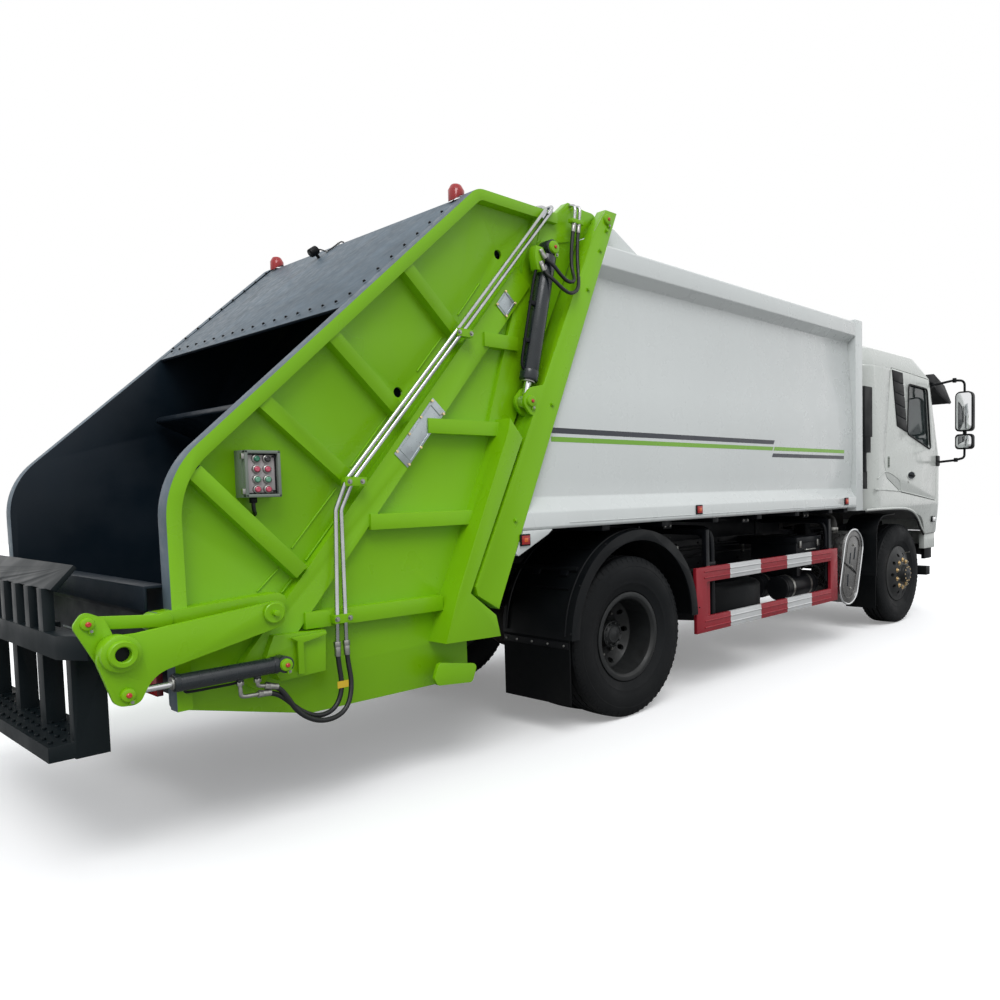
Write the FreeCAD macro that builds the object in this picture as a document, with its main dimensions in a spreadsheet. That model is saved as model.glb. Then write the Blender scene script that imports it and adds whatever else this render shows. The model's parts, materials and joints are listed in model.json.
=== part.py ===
import FreeCAD, Part
import math
import os
import re

from FreeCAD import Rotation, Vector

# Rear-loading garbage truck.
# Lengths are millimetres. The truck is drawn with X measured forward from the rear axle, Y to the
# left and Z up from the road, and every leaf is shifted so that X = 0 is the middle of its length.

doc = FreeCAD.newDocument("GarbageTruck")

# Driving dimensions
DIMENSIONS = {
    "wheelbase": 4500,
    "front_overhang": 1430,
    "rear_overhang": 3170,
    "rail_outer": 430,
    "rail_flange": 75,
    "rail_web": 8,
    "rail_bottom": 790,
    "rail_top": 1040,
    "rail_rear": -980,
    "rail_front": 5560,
    "tyre_radius": 527,
    "tyre_half_width": 139,
    "bead_radius": 262,
    "front_tyre_middle": 969,
    "outer_tyre_middle": 1061,
    "inner_tyre_middle": 741,
    "kingpin_side": 800,
    "body_half_width": 1250,
    "floor_bottom": 1268,
    "floor_top": 1308,
    "body_inner": 1130,
    "body_roof_under": 2910,
    "body_roof_top": 2978,
    "body_front": 3157,
    "front_ring_end": 3296,
    "front_ring_top": 3000,
    "tail_inner": 1085,
    "tail_sheet": 1100,
    "tail_rim": 1170,
    "tail_outer": 1250,
    "guard_outer": 1210,
    "guard_inner": 1180,
    "engine_half_width": 330,
    "arm_outer": 1268,
    "arm_inner": 1246,
    "crank_outer": 1220,
    "crank_inner": 1206,
    "link_outer": 1201,
    "link_inner": 1189,
    "bracket_outer": 1184,
    "barrel_middle": 1226,
    "ram_middle": 1203,
    "ram_tube_radius": 50,
    "ram_rod_radius": 22,
    "lifter_tube_radius": 35,
    "lifter_rod_radius": 14,
}

sheet = doc.addObject("Spreadsheet::Sheet", "Sizes")
for row, (alias, value) in enumerate(DIMENSIONS.items(), start=1):
    sheet.set(f"A{row}", alias.replace("_", " "))
    sheet.set(f"B{row}", str(value))
    sheet.setAlias(f"B{row}", alias)
middle_row = len(DIMENSIONS) + 1
sheet.set(f"A{middle_row}", "rear axle from the middle of the length")
sheet.set(f"B{middle_row}", "=(rear_overhang - front_overhang - wheelbase) / 2")
sheet.setAlias(f"B{middle_row}", "rear_axle")
doc.recompute()

RIGHT = -1
LEFT = 1
nodes = {}
counter = {}


def size(alias):
    return float(sheet.get(alias))


def spelled(expression):
    """Write an expression of aliases in the sheet's own terms."""
    words = list(DIMENSIONS) + ["rear_axle"]
    return re.sub(r"[a-z_]+", lambda m: "Sizes." + m[0] if m[0] in words else m[0], str(expression))


def bind(obj, prop, expression):
    obj.setExpression(prop, spelled(expression))


def fresh(name):
    counter[name] = counter.get(name, 0) + 1
    return name if counter[name] == 1 else f"{name}_{counter[name]}"


def node(name, obj):
    """Name a finished sub-part."""
    obj.Label = name
    nodes[name] = obj
    return obj


# Leaves: blocks, bars, plates and turned pieces

def block(name, x, y, z):
    obj = doc.addObject("Part::Box", fresh(name))
    for prop, (low, high) in zip(("Length", "Width", "Height"), (x, y, z)):
        bind(obj, prop, f"({high}) - ({low})")
    bind(obj, "Placement.Base.x", f"rear_axle + ({x[0]})")
    bind(obj, "Placement.Base.y", y[0])
    bind(obj, "Placement.Base.z", z[0])
    return obj


def bar(name, start, end, radius):
    """Round bar between two points."""
    run = Vector(*end) - Vector(*start)
    obj = doc.addObject("Part::Cylinder", fresh(name))
    bind(obj, "Radius", radius)
    obj.Height = run.Length
    obj.Placement = FreeCAD.Placement(Vector(*start), Rotation(Vector(0, 0, 1), run))
    bind(obj, "Placement.Base.x", f"rear_axle + ({start[0]})")
    return obj


def corner(before, here, after, radius):
    """Ends and middle of the arc that rounds one corner of an outline."""
    a = (before - here).normalize()
    b = (after - here).normalize()
    half = math.acos(max(-1.0, min(1.0, a.dot(b)))) / 2
    reach = radius / math.tan(half)
    inward = (a + b).normalize()
    middle = here + inward * (radius / math.sin(half) - radius)
    return here + a * reach, middle, here + b * reach


def edges(points, closed=True):
    """Lines and tangent arcs through points; a third number rounds that corner."""
    flat = [Vector(p[0], p[1], 0) for p in points]
    count = len(points)
    joints = []
    for i, p in enumerate(points):
        inside = closed or 0 < i < count - 1
        if len(p) > 2 and inside:
            joints.append(corner(flat[i - 1], flat[i], flat[(i + 1) % count], p[2]))
        else:
            joints.append((flat[i], None, flat[i]))
    result = []
    for i in range(count if closed else count - 1):
        start = joints[i][2]
        end = joints[(i + 1) % count][0]
        if (end - start).Length > 1e-6:
            result.append(Part.LineSegment(start, end))
        following = joints[(i + 1) % count]
        if following[1] is not None and (closed or i + 1 < count - 1):
            result.append(Part.Arc(*following))
    return result


def strip(points, thickness):
    """Outline of a bent sheet whose one face follows the points; it thickens to the left."""
    flat = [Vector(p[0], p[1], 0) for p in points]
    far = []
    for i, p in enumerate(points):
        before = (flat[i] - flat[i - 1]).normalize() if i else None
        after = (flat[i + 1] - flat[i]).normalize() if i + 1 < len(flat) else None
        before, after = before or after, after or before
        first = Vector(-before.y, before.x, 0)
        second = Vector(-after.y, after.x, 0)
        mitre = (first + second) * (thickness / (1 + first.dot(second)))
        place = flat[i] + mitre
        turn = before.cross(after).z
        if len(p) > 2:
            radius = p[2] - thickness if turn > 0 else p[2] + thickness
            far.append((place.x, place.y, max(radius, 0.5)))
        else:
            far.append((place.x, place.y))
    return list(points) + far[::-1]


PLANES = {"XY": ("XY_Plane", 1), "XZ": ("XZ_Plane", -1), "YZ": ("YZ_Plane", 1)}


def sketch_on(body, name, plane, offset=0):
    sketch = body.newObject("Sketcher::SketchObject", fresh(name + "_sketch"))
    role = PLANES[plane][0]
    origin = next(f for f in body.Origin.OriginFeatures if f.Role == role)
    sketch.AttachmentSupport = (origin, [""])
    sketch.MapMode = "FlatFace"
    bind(sketch, "AttachmentOffset.Base.z", offset)
    return sketch


def plate(name, plane, points, low, high, holes=()):
    """Outline in one plane, padded from one limit to another along the plane's normal."""
    body = doc.addObject("PartDesign::Body", fresh(name))
    offset = f"-({high})" if plane == "XZ" else low
    sketch = sketch_on(body, name, plane, offset)
    shift = size("rear_axle") if plane == "YZ" else 0
    if plane == "YZ":
        bind(sketch, "AttachmentOffset.Base.z", f"rear_axle + ({offset})")
    sketch.addGeometry(edges(points), False)
    for hole in holes:
        if hole[0] == "round":
            centre = Vector(hole[1], hole[2], 0)
            sketch.addGeometry(Part.Circle(centre, Vector(0, 0, 1), hole[3]), False)
        else:
            sketch.addGeometry(edges(hole), False)
    pad = body.newObject("PartDesign::Pad", fresh(name + "_pad"))
    pad.Profile = sketch
    bind(pad, "Length", f"({high}) - ({low})")
    if not shift:
        bind(body, "Placement.Base.x", "rear_axle")
    return body


def turned(name, axis, points, x, z, y="0"):
    """Profile turned about an axle along Y, a shaft along X or a post along Z.

    Points are (along the axis, radius); for a post they are (radius, height)."""
    body = doc.addObject("PartDesign::Body", fresh(name))
    plane = "XZ" if axis == "Z" else "XY"
    sketch = sketch_on(body, name, plane)
    drawn = [(p[1], p[0], *p[2:]) for p in points] if axis == "Y" else points
    sketch.addGeometry(edges(drawn), False)
    turn = body.newObject("PartDesign::Revolution", fresh(name + "_turn"))
    turn.Profile = sketch
    turn.ReferenceAxis = (sketch, ["H_Axis" if axis == "X" else "V_Axis"])
    turn.Angle = 360
    bind(body, "Placement.Base.x", f"rear_axle + ({x})")
    bind(body, "Placement.Base.y", y)
    bind(body, "Placement.Base.z", z)
    return body


def pipe(name, points, radius):
    """Round tube along straight runs joined by tangent arcs; a fourth number is the bend's radius."""
    flat = [Vector(p[0] + size("rear_axle"), p[1], p[2]) for p in points]
    path = []
    start = flat[0]
    for i in range(1, len(flat)):
        if i < len(flat) - 1:
            first, middle, last = corner(flat[i - 1], flat[i], flat[i + 1], points[i][3])
            path.append(Part.LineSegment(start, first).toShape())
            path.append(Part.Arc(first, middle, last).toShape())
            start = last
        else:
            path.append(Part.LineSegment(start, flat[i]).toShape())
    wire = Part.Wire(path)
    ring = Part.Wire(Part.makeCircle(radius, flat[0], flat[1] - flat[0]))
    obj = doc.addObject("Part::Feature", fresh(name))
    obj.Shape = wire.makePipeShell([ring], True, False)
    return obj


# Joined shapes

def merge(name, *pieces):
    obj = doc.addObject("Part::MultiFuse", fresh(name))
    obj.Shapes = list(pieces)
    return obj


def group(name, *pieces):
    obj = doc.addObject("Part::Compound", fresh(name))
    obj.Links = list(pieces)
    return obj


def cut(name, base, *tools):
    obj = doc.addObject("Part::Cut", fresh(name))
    obj.Base = base
    obj.Tool = tools[0] if len(tools) == 1 else group(name + "_tools", *tools)
    return obj


def common(name, base, tool):
    obj = doc.addObject("Part::Common", fresh(name))
    obj.Base = base
    obj.Tool = tool
    return obj


def mirrored(name, source):
    obj = doc.addObject("Part::Mirroring", fresh(name))
    obj.Source = source
    obj.Base = Vector(0, 0, 0)
    obj.Normal = Vector(0, 1, 0)
    return obj


def pair(name, right_piece):
    """A right-hand sub-part and its mirror image on the left."""
    node(name + "_right", right_piece)
    node(name + "_left", mirrored(name + "_left", right_piece))


def both(name, right_piece):
    """One sub-part made of a right-hand piece and its mirror image."""
    node(name, group(name, right_piece, mirrored(name + "_mirror", right_piece)))


# Chassis: two channel rails, cross members and the body's subframe

def make_chassis():
    outer, web = size("rail_outer"), size("rail_web")
    low, high = size("rail_bottom"), size("rail_top")
    lip = outer - size("rail_flange")
    channel = [(-outer, low), (-lip, low), (-lip, low + web), (web - outer, low + web),
               (web - outer, high - web), (-lip, high - web), (-lip, high), (-outer, high)]
    right_rail = plate("rail_right", "YZ", channel, "rail_rear", "rail_front")
    rails = [right_rail, mirrored("rail_left", right_rail)]
    ties = []
    for station in (-930, 700, 1500, 2450, 5230, 5500):
        ties.append(block("cross_member", (station - 30, station + 30),
                          ("rail_web - rail_outer", "rail_outer - rail_web"), (860, 970)))
    node("chassis_frame", merge("chassis_frame", *rails, *ties))

    beams = [block("subframe_beam", (-900, 3150), (side - 35, side + 35), ("rail_top", 1228))
             for side in (-392, 392)]
    bearers = [block("bearer", (station - 35, station + 35), (-1170, 1170), (1228, "floor_bottom"))
               for station in (-800, -200, 400, 1000, 1600, 2200, 2800, 3100)]
    return beams + bearers


# Axles, springs and driveline

def make_axles():
    front = size("wheelbase")
    beam = [(-760, 472), (-620, 472), (-540, 410), (540, 410), (620, 472), (760, 472),
            (760, 582), (620, 582), (540, 505), (-540, 505), (-620, 582), (-760, 582)]
    beam_plate = plate("axle_beam", "YZ", beam, "wheelbase - 38", "wheelbase + 38")
    eyes = [bar("kingpin_eye", (front, side, 472), (front, side, 582), 42) for side in (-800, 800)]
    bores = [bar("kingpin_bore", (front, side, 440), (front, side, 620), 24) for side in (-800, 800)]
    arms = [block("eye_arm", ("wheelbase - 30", "wheelbase + 30"), ys, (480, 574))
            for ys in ((-790, -750), (750, 790))]
    front_axle = cut("front_axle", merge("front_axle_blank", beam_plate, *eyes, *arms), *bores)

    tube = bar("axle_tube", (0, -788, 527), (0, 788, 527), 62)
    bowl = doc.addObject("Part::Sphere", "differential_bowl")
    bowl.Radius = 190
    bind(bowl, "Placement.Base.x", "rear_axle + 15")
    bind(bowl, "Placement.Base.z", "tyre_radius")
    nose = turned("pinion_nose", "X", [(100, 0), (330, 0), (330, 70), (300, 75), (100, 130)], 0, 527)

    leaf = [(-680, 850), (-680, 795), (-350, 680), (-80, 600), (80, 600), (350, 680), (680, 795),
            (680, 850), (350, 745), (80, 690), (-80, 690), (-350, 745)]
    rear_leaf = plate("rear_leaf", "XZ", leaf, -540, -460)
    shackles = [block("rear_shackle", xs, (-540, "-rail_outer"), (790, 900))
                for xs in ((-720, -640), (640, 720))]
    seat = block("rear_seat", (-70, 70), (-540, -460), (575, 610))
    spring = merge("rear_spring", rear_leaf, seat, *shackles)
    seat_gap = bar("axle_clearance", (0, -560, 527), (0, -440, 527), 62)
    rear_spring = cut("rear_spring_cut", spring, seat_gap)

    start = front - 660
    end = front + 660
    leaf = [(start, 790), (start, 735), (front - 320, 590), (front - 80, 505), (front + 80, 505),
            (front + 320, 590), (end, 735), (end, 790), (front + 320, 655), (front + 80, 585),
            (front - 80, 585), (front - 320, 655)]
    front_spring = plate("front_leaf", "XZ", leaf, -425, -350)
    both("leaf_springs", group("leaf_springs_right", rear_spring, front_spring))

    shaft = bar("shaft_tube", (320, 0, 560), (2900, 0, 790), 42)
    collars = [bar("shaft_yoke", (300, 0, 558), (400, 0, 567), 62),
               bar("shaft_flange", (2850, 0, 786), (2920, 0, 791), 62)]
    rear_axle = merge("rear_axle", tube, bowl, nose, shaft, *collars)
    node("axles", group("axles", front_axle, rear_axle))

    engine = block("engine_mass", (3640, 4740), ("-engine_half_width", "engine_half_width"), (660, 1200))
    gearbox = block("gearbox", (2940, 3640), (-190, 190), (680, 1020))
    node("engine_block", merge("engine_block", engine, gearbox))


# Wheels: profiles are (out from the middle of the truck, radius)

def tyre_profile(middle):
    half = size("tyre_half_width")
    radius = size("tyre_radius")
    bead = size("bead_radius")
    return [(middle - 92, bead), (middle - 92, bead + 30), (middle - half, bead + 108, 60),
            (middle - half, radius - 85, 60), (middle - half + 14, radius - 22, 15),
            (middle - half + 36, radius), (middle + half - 36, radius),
            (middle + half - 14, radius - 22, 15), (middle + half, radius - 85, 60),
            (middle + half, bead + 108, 60), (middle + 92, bead + 30), (middle + 92, bead)]


def side_of(points, side):
    return [(side * p[0], *p[1:]) for p in points]


REAR_RIM = [(800, 0), (1035, 0), (1035, 55), (1005, 85), (930, 92), (914, 120), (914, 170),
            (968, 238), (1150, 244), (1168, 262), (1168, 290), (1157, 290), (1155, 262), (967, 262),
            (965, 288), (954, 288), (950, 246), (903, 184), (850, 246), (846, 288), (835, 288),
            (833, 262), (647, 262), (645, 290), (634, 290), (634, 262), (652, 244), (834, 236),
            (888, 172), (645, 184), (645, 172), (840, 160), (840, 74), (800, 74)]

FRONT_RIM = [(1080, 0), (1195, 0), (1195, 60), (1170, 88), (1137, 95), (1127, 120), (1127, 170),
             (1090, 236), (1076, 262), (1076, 290), (1064, 290), (1062, 262), (876, 262),
             (874, 290), (862, 290), (862, 262), (882, 246), (1052, 244), (1112, 166), (895, 196),
             (895, 184), (1080, 156)]


def make_wheels():
    for side, name in ((RIGHT, "right"), (LEFT, "left")):
        profile = side_of(tyre_profile(size("front_tyre_middle")), side)
        node("front_tyre_" + name, turned("front_tyre", "Y", profile, "wheelbase", "tyre_radius"))
        rim = turned("front_rim", "Y", side_of(FRONT_RIM, side), "wheelbase", "tyre_radius")
        node("front_rim_" + name, rim)
        tyres = [turned("rear_tyre", "Y", side_of(tyre_profile(size(place)), side), 0, "tyre_radius")
                 for place in ("outer_tyre_middle", "inner_tyre_middle")]
        node("rear_tyres_" + name, group("rear_tyres", *tyres))
        rim = turned("rear_rim", "Y", side_of(REAR_RIM, side), 0, "tyre_radius")
        node("rear_rims_" + name, rim)


def make_knuckles():
    front = size("wheelbase")
    pin = size("kingpin_side")
    for side, name in ((RIGHT, "right"), (LEFT, "left")):
        y_pin = side * pin
        ys = sorted((side * (pin + 52), side * (pin + 68)))
        wall = block("knuckle_wall", (front - 50, front + 50), ys, (415, 640))
        forks = []
        for low, high in ((590, 640), (415, 464)):
            forks.append(bar("fork_eye", (front, y_pin, low), (front, y_pin, high), 44))
            reach = sorted((y_pin, side * (pin + 54)))
            forks.append(block("fork", (front - 44, front + 44), reach, (low, high)))
        kingpin = bar("kingpin", (front, y_pin, 420), (front, y_pin, 635), 22)
        spindle = bar("spindle", (front, side * (pin + 60), 527), (front, side * 1072, 527), 42)
        backing = bar("backing_plate", (front, side * (pin + 66), 527), (front, side * 880, 527), 180)
        arm = block("steering_arm", (front - 200, front - 40),
                    sorted((side * (pin - 18), side * (pin + 18))), (430, 460))
        merged = merge("knuckle_" + name, wall, *forks, kingpin, spindle, backing, arm)
        node("knuckle_" + name, merged)
    rod = bar("rod", (front - 180, -pin, 488), (front - 180, pin, 488), 18)
    balls = [bar("ball_joint", (front - 180, side * pin, 466), (front - 180, side * pin, 510), 26)
             for side in (RIGHT, LEFT)]
    node("tie_rod", merge("tie_rod", rod, *balls))


# Body box: floor, sides, roof, bulkhead, front ring and the green rear frame

REAR_EDGE = [(-129, 3180), (-1145, 877)]
MATING_EDGE = [(-318, 3060), (-1304, 992)]


def on_line(line, height):
    (x1, z1), (x2, z2) = line
    return x1 + (x2 - x1) * (height - z1) / (z2 - z1)


def make_container(floor_frame):
    half = size("body_half_width")
    floor, roof = size("floor_bottom"), size("body_roof_top")
    inner = size("body_inner")
    section = [(-inner, floor), (-half + 14, floor), (-half, floor + 14), (-half, 1366),
               (-1192, 1452), (-1205, 1560), (-1222, 2000, 2600), (-1172, 2790), (-half, 2850),
               (-half, roof - 10), (-half + 10, roof), (-inner, roof)]
    long_side = plate("side_section", "YZ", section, -1200, "body_front")
    front = size("body_front")
    outline = [(on_line(REAR_EDGE, 3100), 3100), (on_line(REAR_EDGE, 1200), 1200),
               (front, 1200), (front, 3100)]
    window = plate("side_outline", "XZ", outline, -1300, -1100)
    pair("container_side", common("container_side", long_side, window))

    floor_outline = [(on_line(REAR_EDGE, floor), floor), (front, floor), (front, size("floor_top")),
                     (on_line(REAR_EDGE, size("floor_top")), size("floor_top"))]
    sheet_floor = plate("floor_sheet", "XZ", floor_outline, "-body_inner", "body_inner")
    node("container_floor", merge("container_floor", sheet_floor, *floor_frame))
    low = size("body_roof_under")
    roof_outline = [(on_line(REAR_EDGE, low), low), (front, low), (front, roof),
                    (300, roof), (-20, 3140), (-128, 3140), (-128, 3040), (on_line(REAR_EDGE, 3035), 3035)]
    node("container_roof", plate("container_roof", "XZ", roof_outline, "-body_inner", "body_inner"))

    ring = block("front_ring_blank", ("body_front", "front_ring_end"),
                 ("-body_half_width", "body_half_width"), (1239, "front_ring_top"))
    well = block("front_ring_well", ("body_front + 45", "front_ring_end + 10"),
                 ("-body_half_width + 110", "body_half_width - 110"), (1340, "front_ring_top - 110"))
    node("container_bulkhead", cut("container_bulkhead", ring, well))

    post = [(on_line(REAR_EDGE, 3184), 3184), (-230, 3184), (-334, 3036),
            (on_line(MATING_EDGE, 2960), 2960), (-1304, 992), (-1292, 944), (-1152, 856),
            (on_line(REAR_EDGE, 880), 880)]
    right_post = plate("frame_post", "XZ", post, "-body_half_width", -1178)
    left_post = mirrored("frame_post_left", right_post)
    band = [(on_line(MATING_EDGE, 3000), 3000), (on_line(MATING_EDGE, floor - 20), floor - 20),
            (on_line(REAR_EDGE, floor - 20), floor - 20), (on_line(REAR_EDGE, 3000), 3000)]
    ring = plate("frame_band", "XZ", band, -1178, 1178)
    mouth = block("frame_mouth", (-1300, 0), (-1090, 1090), ("floor_top", "body_roof_under"))
    lugs = []
    for y_low, y_high in ((-1250, -1232), (-1178, -1160)):
        lug = [(-770, 1890), (-890, 1915, 50), (-950, 1990, 55), (-880, 2065, 50), (-700, 2105)]
        lugs.append(plate("ram_lug", "XZ", lug, y_low, y_high))
    left_lugs = [mirrored("ram_lug_left", lug) for lug in lugs]
    pins = [bar("hinge_pin", (-219, side * 1120, 3127), (-219, side * 1250, 3127), 24)
            for side in (RIGHT, LEFT)]
    frame = merge("frame_all", right_post, left_post, cut("frame_ring", ring, mouth), *lugs,
                  *left_lugs, *pins)
    node("container_rear_frame", frame)


# Side equipment under the body

def make_side_equipment():
    front_end, rear_end = 2850, 694
    rails = [block("guard_rail", (rear_end, front_end), ("-guard_outer", "-guard_inner"), zs)
             for zs in ((805, 912), (440, 555))]
    posts = [block("guard_post", xs, ("-guard_outer", "-guard_inner"), (440, 912))
             for xs in ((rear_end, rear_end + 130), (front_end - 130, front_end))]
    brackets = []
    for station in (880, 2760):
        upright = block("guard_upright", (station - 20, station + 20), (-1180, -1140), (470, 1180))
        reach = block("guard_reach", (station - 20, station + 20), (-1180, "-rail_outer"), (1140, 1180))
        foot = block("guard_foot", (station - 60, station + 60), (-438, "-rail_outer"), (960, 1180))
        brackets += [upright, reach, foot]
    both("side_guards", merge("side_guard", *rails, *posts, *brackets))

    radius = 633
    left, right, top, bottom = 50 - radius, 50 + radius, 590 + radius, 588
    arch = [(right, bottom), (right, top, radius - 1), (left, top, radius - 1), (left, bottom)]
    cover = plate("fender_sheet", "XZ", strip(arch, 9), -1212, -600)
    lip = plate("fender_lip", "XZ", strip(arch, 68), -1228, -1212)
    stays = [bar("fender_stay", (x, -1150, z), (x, -430, z), 16)
             for x, z in ((50 - 490, 1003), (50 + 490, 1003))]
    flap = block("rear_flap", (-582, -572), (-1200, -610), (190, bottom))
    rear = merge("rear_fender", cover, lip, *stays, flap)

    front_arch = [(3850, 560), (3870, 1150, 190), (4300, 1165)]
    guard = plate("front_mudguard", "XZ", strip(front_arch, 9), -1130, -790)
    hook = block("mudguard_stay", (3856, 3886), (-800, "-rail_outer"), (990, 1020))
    flap = block("front_flap", (3842, 3852), (-1120, -800), (230, 600))
    both("mudguards", group("mudguards_right", rear, merge("front_guard", guard, hook, flap)))

    tank = plate("fuel_tank_shell", "YZ", [(560, 500, 90), (1090, 500, 90), (1090, 1000, 90),
                                           (560, 1000, 90)], 1350, 2450)
    arms = [block("tank_bracket", xs, ("rail_outer", 600), (780, 1030))
            for xs in ((1500, 1560), (2240, 2300))]
    node("fuel_tank", merge("fuel_tank", tank, *arms))
    battery = block("battery_case", (3020, 3420), (620, 1130), (560, 980))
    battery_arm = block("battery_arm", (3100, 3340), ("rail_outer", 640), (880, 940))
    drum = plate("drum_shell", "XZ", [(2872, 392, 150), (3265, 392, 150), (3372, 1050, 150),
                                      (2979, 1050, 150)], -1210, -900)
    stay = block("drum_stay", (3060, 3180), (-905, "-rail_outer"), (880, 940))
    node("exhaust_drum", merge("exhaust_drum", drum, stay))
    box = block("tool_case", (2300, 2720), (-1100, -640), (790, 1030))
    box_arm = block("tool_arm", (2400, 2600), (-650, "-rail_outer"), (960, 1030))
    air_tanks = [bar("air_tank", (2180, -980, 600), (2720, -980, 600), 105),
                 bar("air_tank", (2180, -740, 600), (2720, -740, 600), 105)]
    tank_arm = block("air_tank_arm", (2380, 2440), (-1060, "-rail_outer"), (690, 800))
    node("side_boxes", group("side_boxes", merge("battery_box", battery, battery_arm),
                             merge("tool_box", box, box_arm), merge("air_tanks", tank_arm, *air_tanks)))
    profile = [(p[1], p[0]) for p in tyre_profile(0)]
    spare = turned("spare_tyre", "Z", profile, 1450, 600, -640)
    disc = turned("spare_disc", "Z", [(0, -20), (180, -20), (250, 20), (262, 92), (262, -92),
                                      (246, -92), (240, -36), (170, -40), (0, -40)], 1450, 600, -640)
    hanger = block("spare_hanger", (1400, 1500), (-700, -350), (560, 580))
    hook = block("spare_hook", (1420, 1480), (-422, -360), (560, 790))
    node("spare_wheel", merge("spare_wheel", spare, disc, hanger, hook))


def make_bumper():
    """Bumper shell and under-run beam, fixed to the rails."""
    outer = [(5100, -1128), (5430, -1134, 300), (5790, -872, 260), (5865, 0), (5790, 872, 260),
             (5430, 1134, 300), (5100, 1128)]
    shell = plate("bumper_shell", "XY", strip(outer, 60), 752, 915)
    lip_line = [(5180, -1098), (5420, -1100, 280), (5760, -850, 240), (5830, 0), (5760, 850, 240),
                (5420, 1100, 280), (5180, 1098)]
    lip = plate("bumper_lip", "XY", strip(lip_line, 38), 630, 760)
    arms = [block("bumper_arm", (5500, 5785), ys, (640, 720)) for ys in ((-430, -360), (360, 430))]
    drops = [block("bumper_drop", (5480, 5560), ys, (640, "rail_bottom"))
             for ys in ((-430, -360), (360, 430))]
    whole = merge("bumper_whole", shell, lip, *arms, *drops)
    lamp = plate("headlamp", "XY", [(5517, -1076), (5678, -957), (5644, -911), (5483, -1030)], 778, 892)
    lamps = [lamp, mirrored("headlamp_left", lamp)]
    node("headlamps", group("headlamps", *lamps))
    bumper = cut("bumper", whole, *lamps)
    beam = block("underrun_bar", (5150, 5260), (-1130, 1130), (450, 545))
    hangers = [block("underrun_hanger", (5170, 5240), ys, (540, "rail_bottom"))
               for ys in ((-425, -365), (365, 425))]
    node("front_bumper", group("front_bumper", bumper, merge("underrun_beam", beam, *hangers)))


# Cab: a tapering shell split into its real panels

CAB_LEVELS = (
    (760, 3640, 5850, 1130), (1250, 3640, 5850, 1180), (1750, 3640, 5850, 1185),
    (2640, 3600, 5640, 1150), (2830, 3640, 5330, 1090), (2905, 3760, 5000, 900),
)


def cab_wire(level, inset):
    height, rear, front, half = level
    rear += inset
    front -= inset
    half -= inset
    ring = [(rear, -half, 170 - inset), (front - 420, -half, 300), (front - 70, -half + 260, 260),
            (front, 0), (front - 70, half - 260, 260), (front - 420, half, 300),
            (rear, half, 170 - inset)]
    shift = Vector(size("rear_axle"), 0, 0)
    wire = Part.Wire([e.toShape() for e in edges(ring)])
    wire.translate(shift + Vector(0, 0, height))
    return wire


def cab_solid(inset, drop):
    levels = [(z, rear, front, half) for z, rear, front, half in CAB_LEVELS]
    levels[-1] = (levels[-1][0] - drop, *levels[-1][1:])
    levels[-2] = (levels[-2][0] - drop * 0.7, *levels[-2][1:])
    return Part.makeLoft([cab_wire(level, inset) for level in levels], True, True)


def feature(name, shape):
    obj = doc.addObject("Part::Feature", fresh(name))
    obj.Shape = shape
    return obj


def prism(plane, points, low, high):
    """Plain solid for cutting the cab's shell."""
    wire = Part.Wire([e.toShape() for e in edges(points)])
    face = Part.Face(wire)
    solid = face.extrude(Vector(0, 0, high - low))
    if plane == "XZ":
        solid.rotate(Vector(), Vector(1, 0, 0), 90)
        solid.translate(Vector(0, high, 0))
    elif plane == "YZ":
        solid.rotate(Vector(), Vector(1, 1, 1), 120)
        solid.translate(Vector(low, 0, 0))
    else:
        solid.translate(Vector(0, 0, low))
    solid.translate(Vector(size("rear_axle"), 0, 0))
    return solid


CAB_SILL = 1225
DOOR = [(5290, 1290, 40), (4330, 1400, 60), (3960, 1560, 120), (3930, 1720), (4170, 2668, 60),
        (5215, 2625, 80), (5300, 1850)]
DOOR_GLASS = [(5140, 1855, 50), (4512, 2010, 50), (4600, 2535, 50), (5110, 2520, 60)]
ARCH = [(3500, 600), (3500, CAB_SILL), (4520, CAB_SILL, 300), (4960, 1110, 220), (5080, 900, 100),
        (5090, 600)]

GRILLE_BAR = [(5808, -640), (5866, 0), (5808, 640), (5788, 640), (5838, 0), (5788, -640)]


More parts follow.
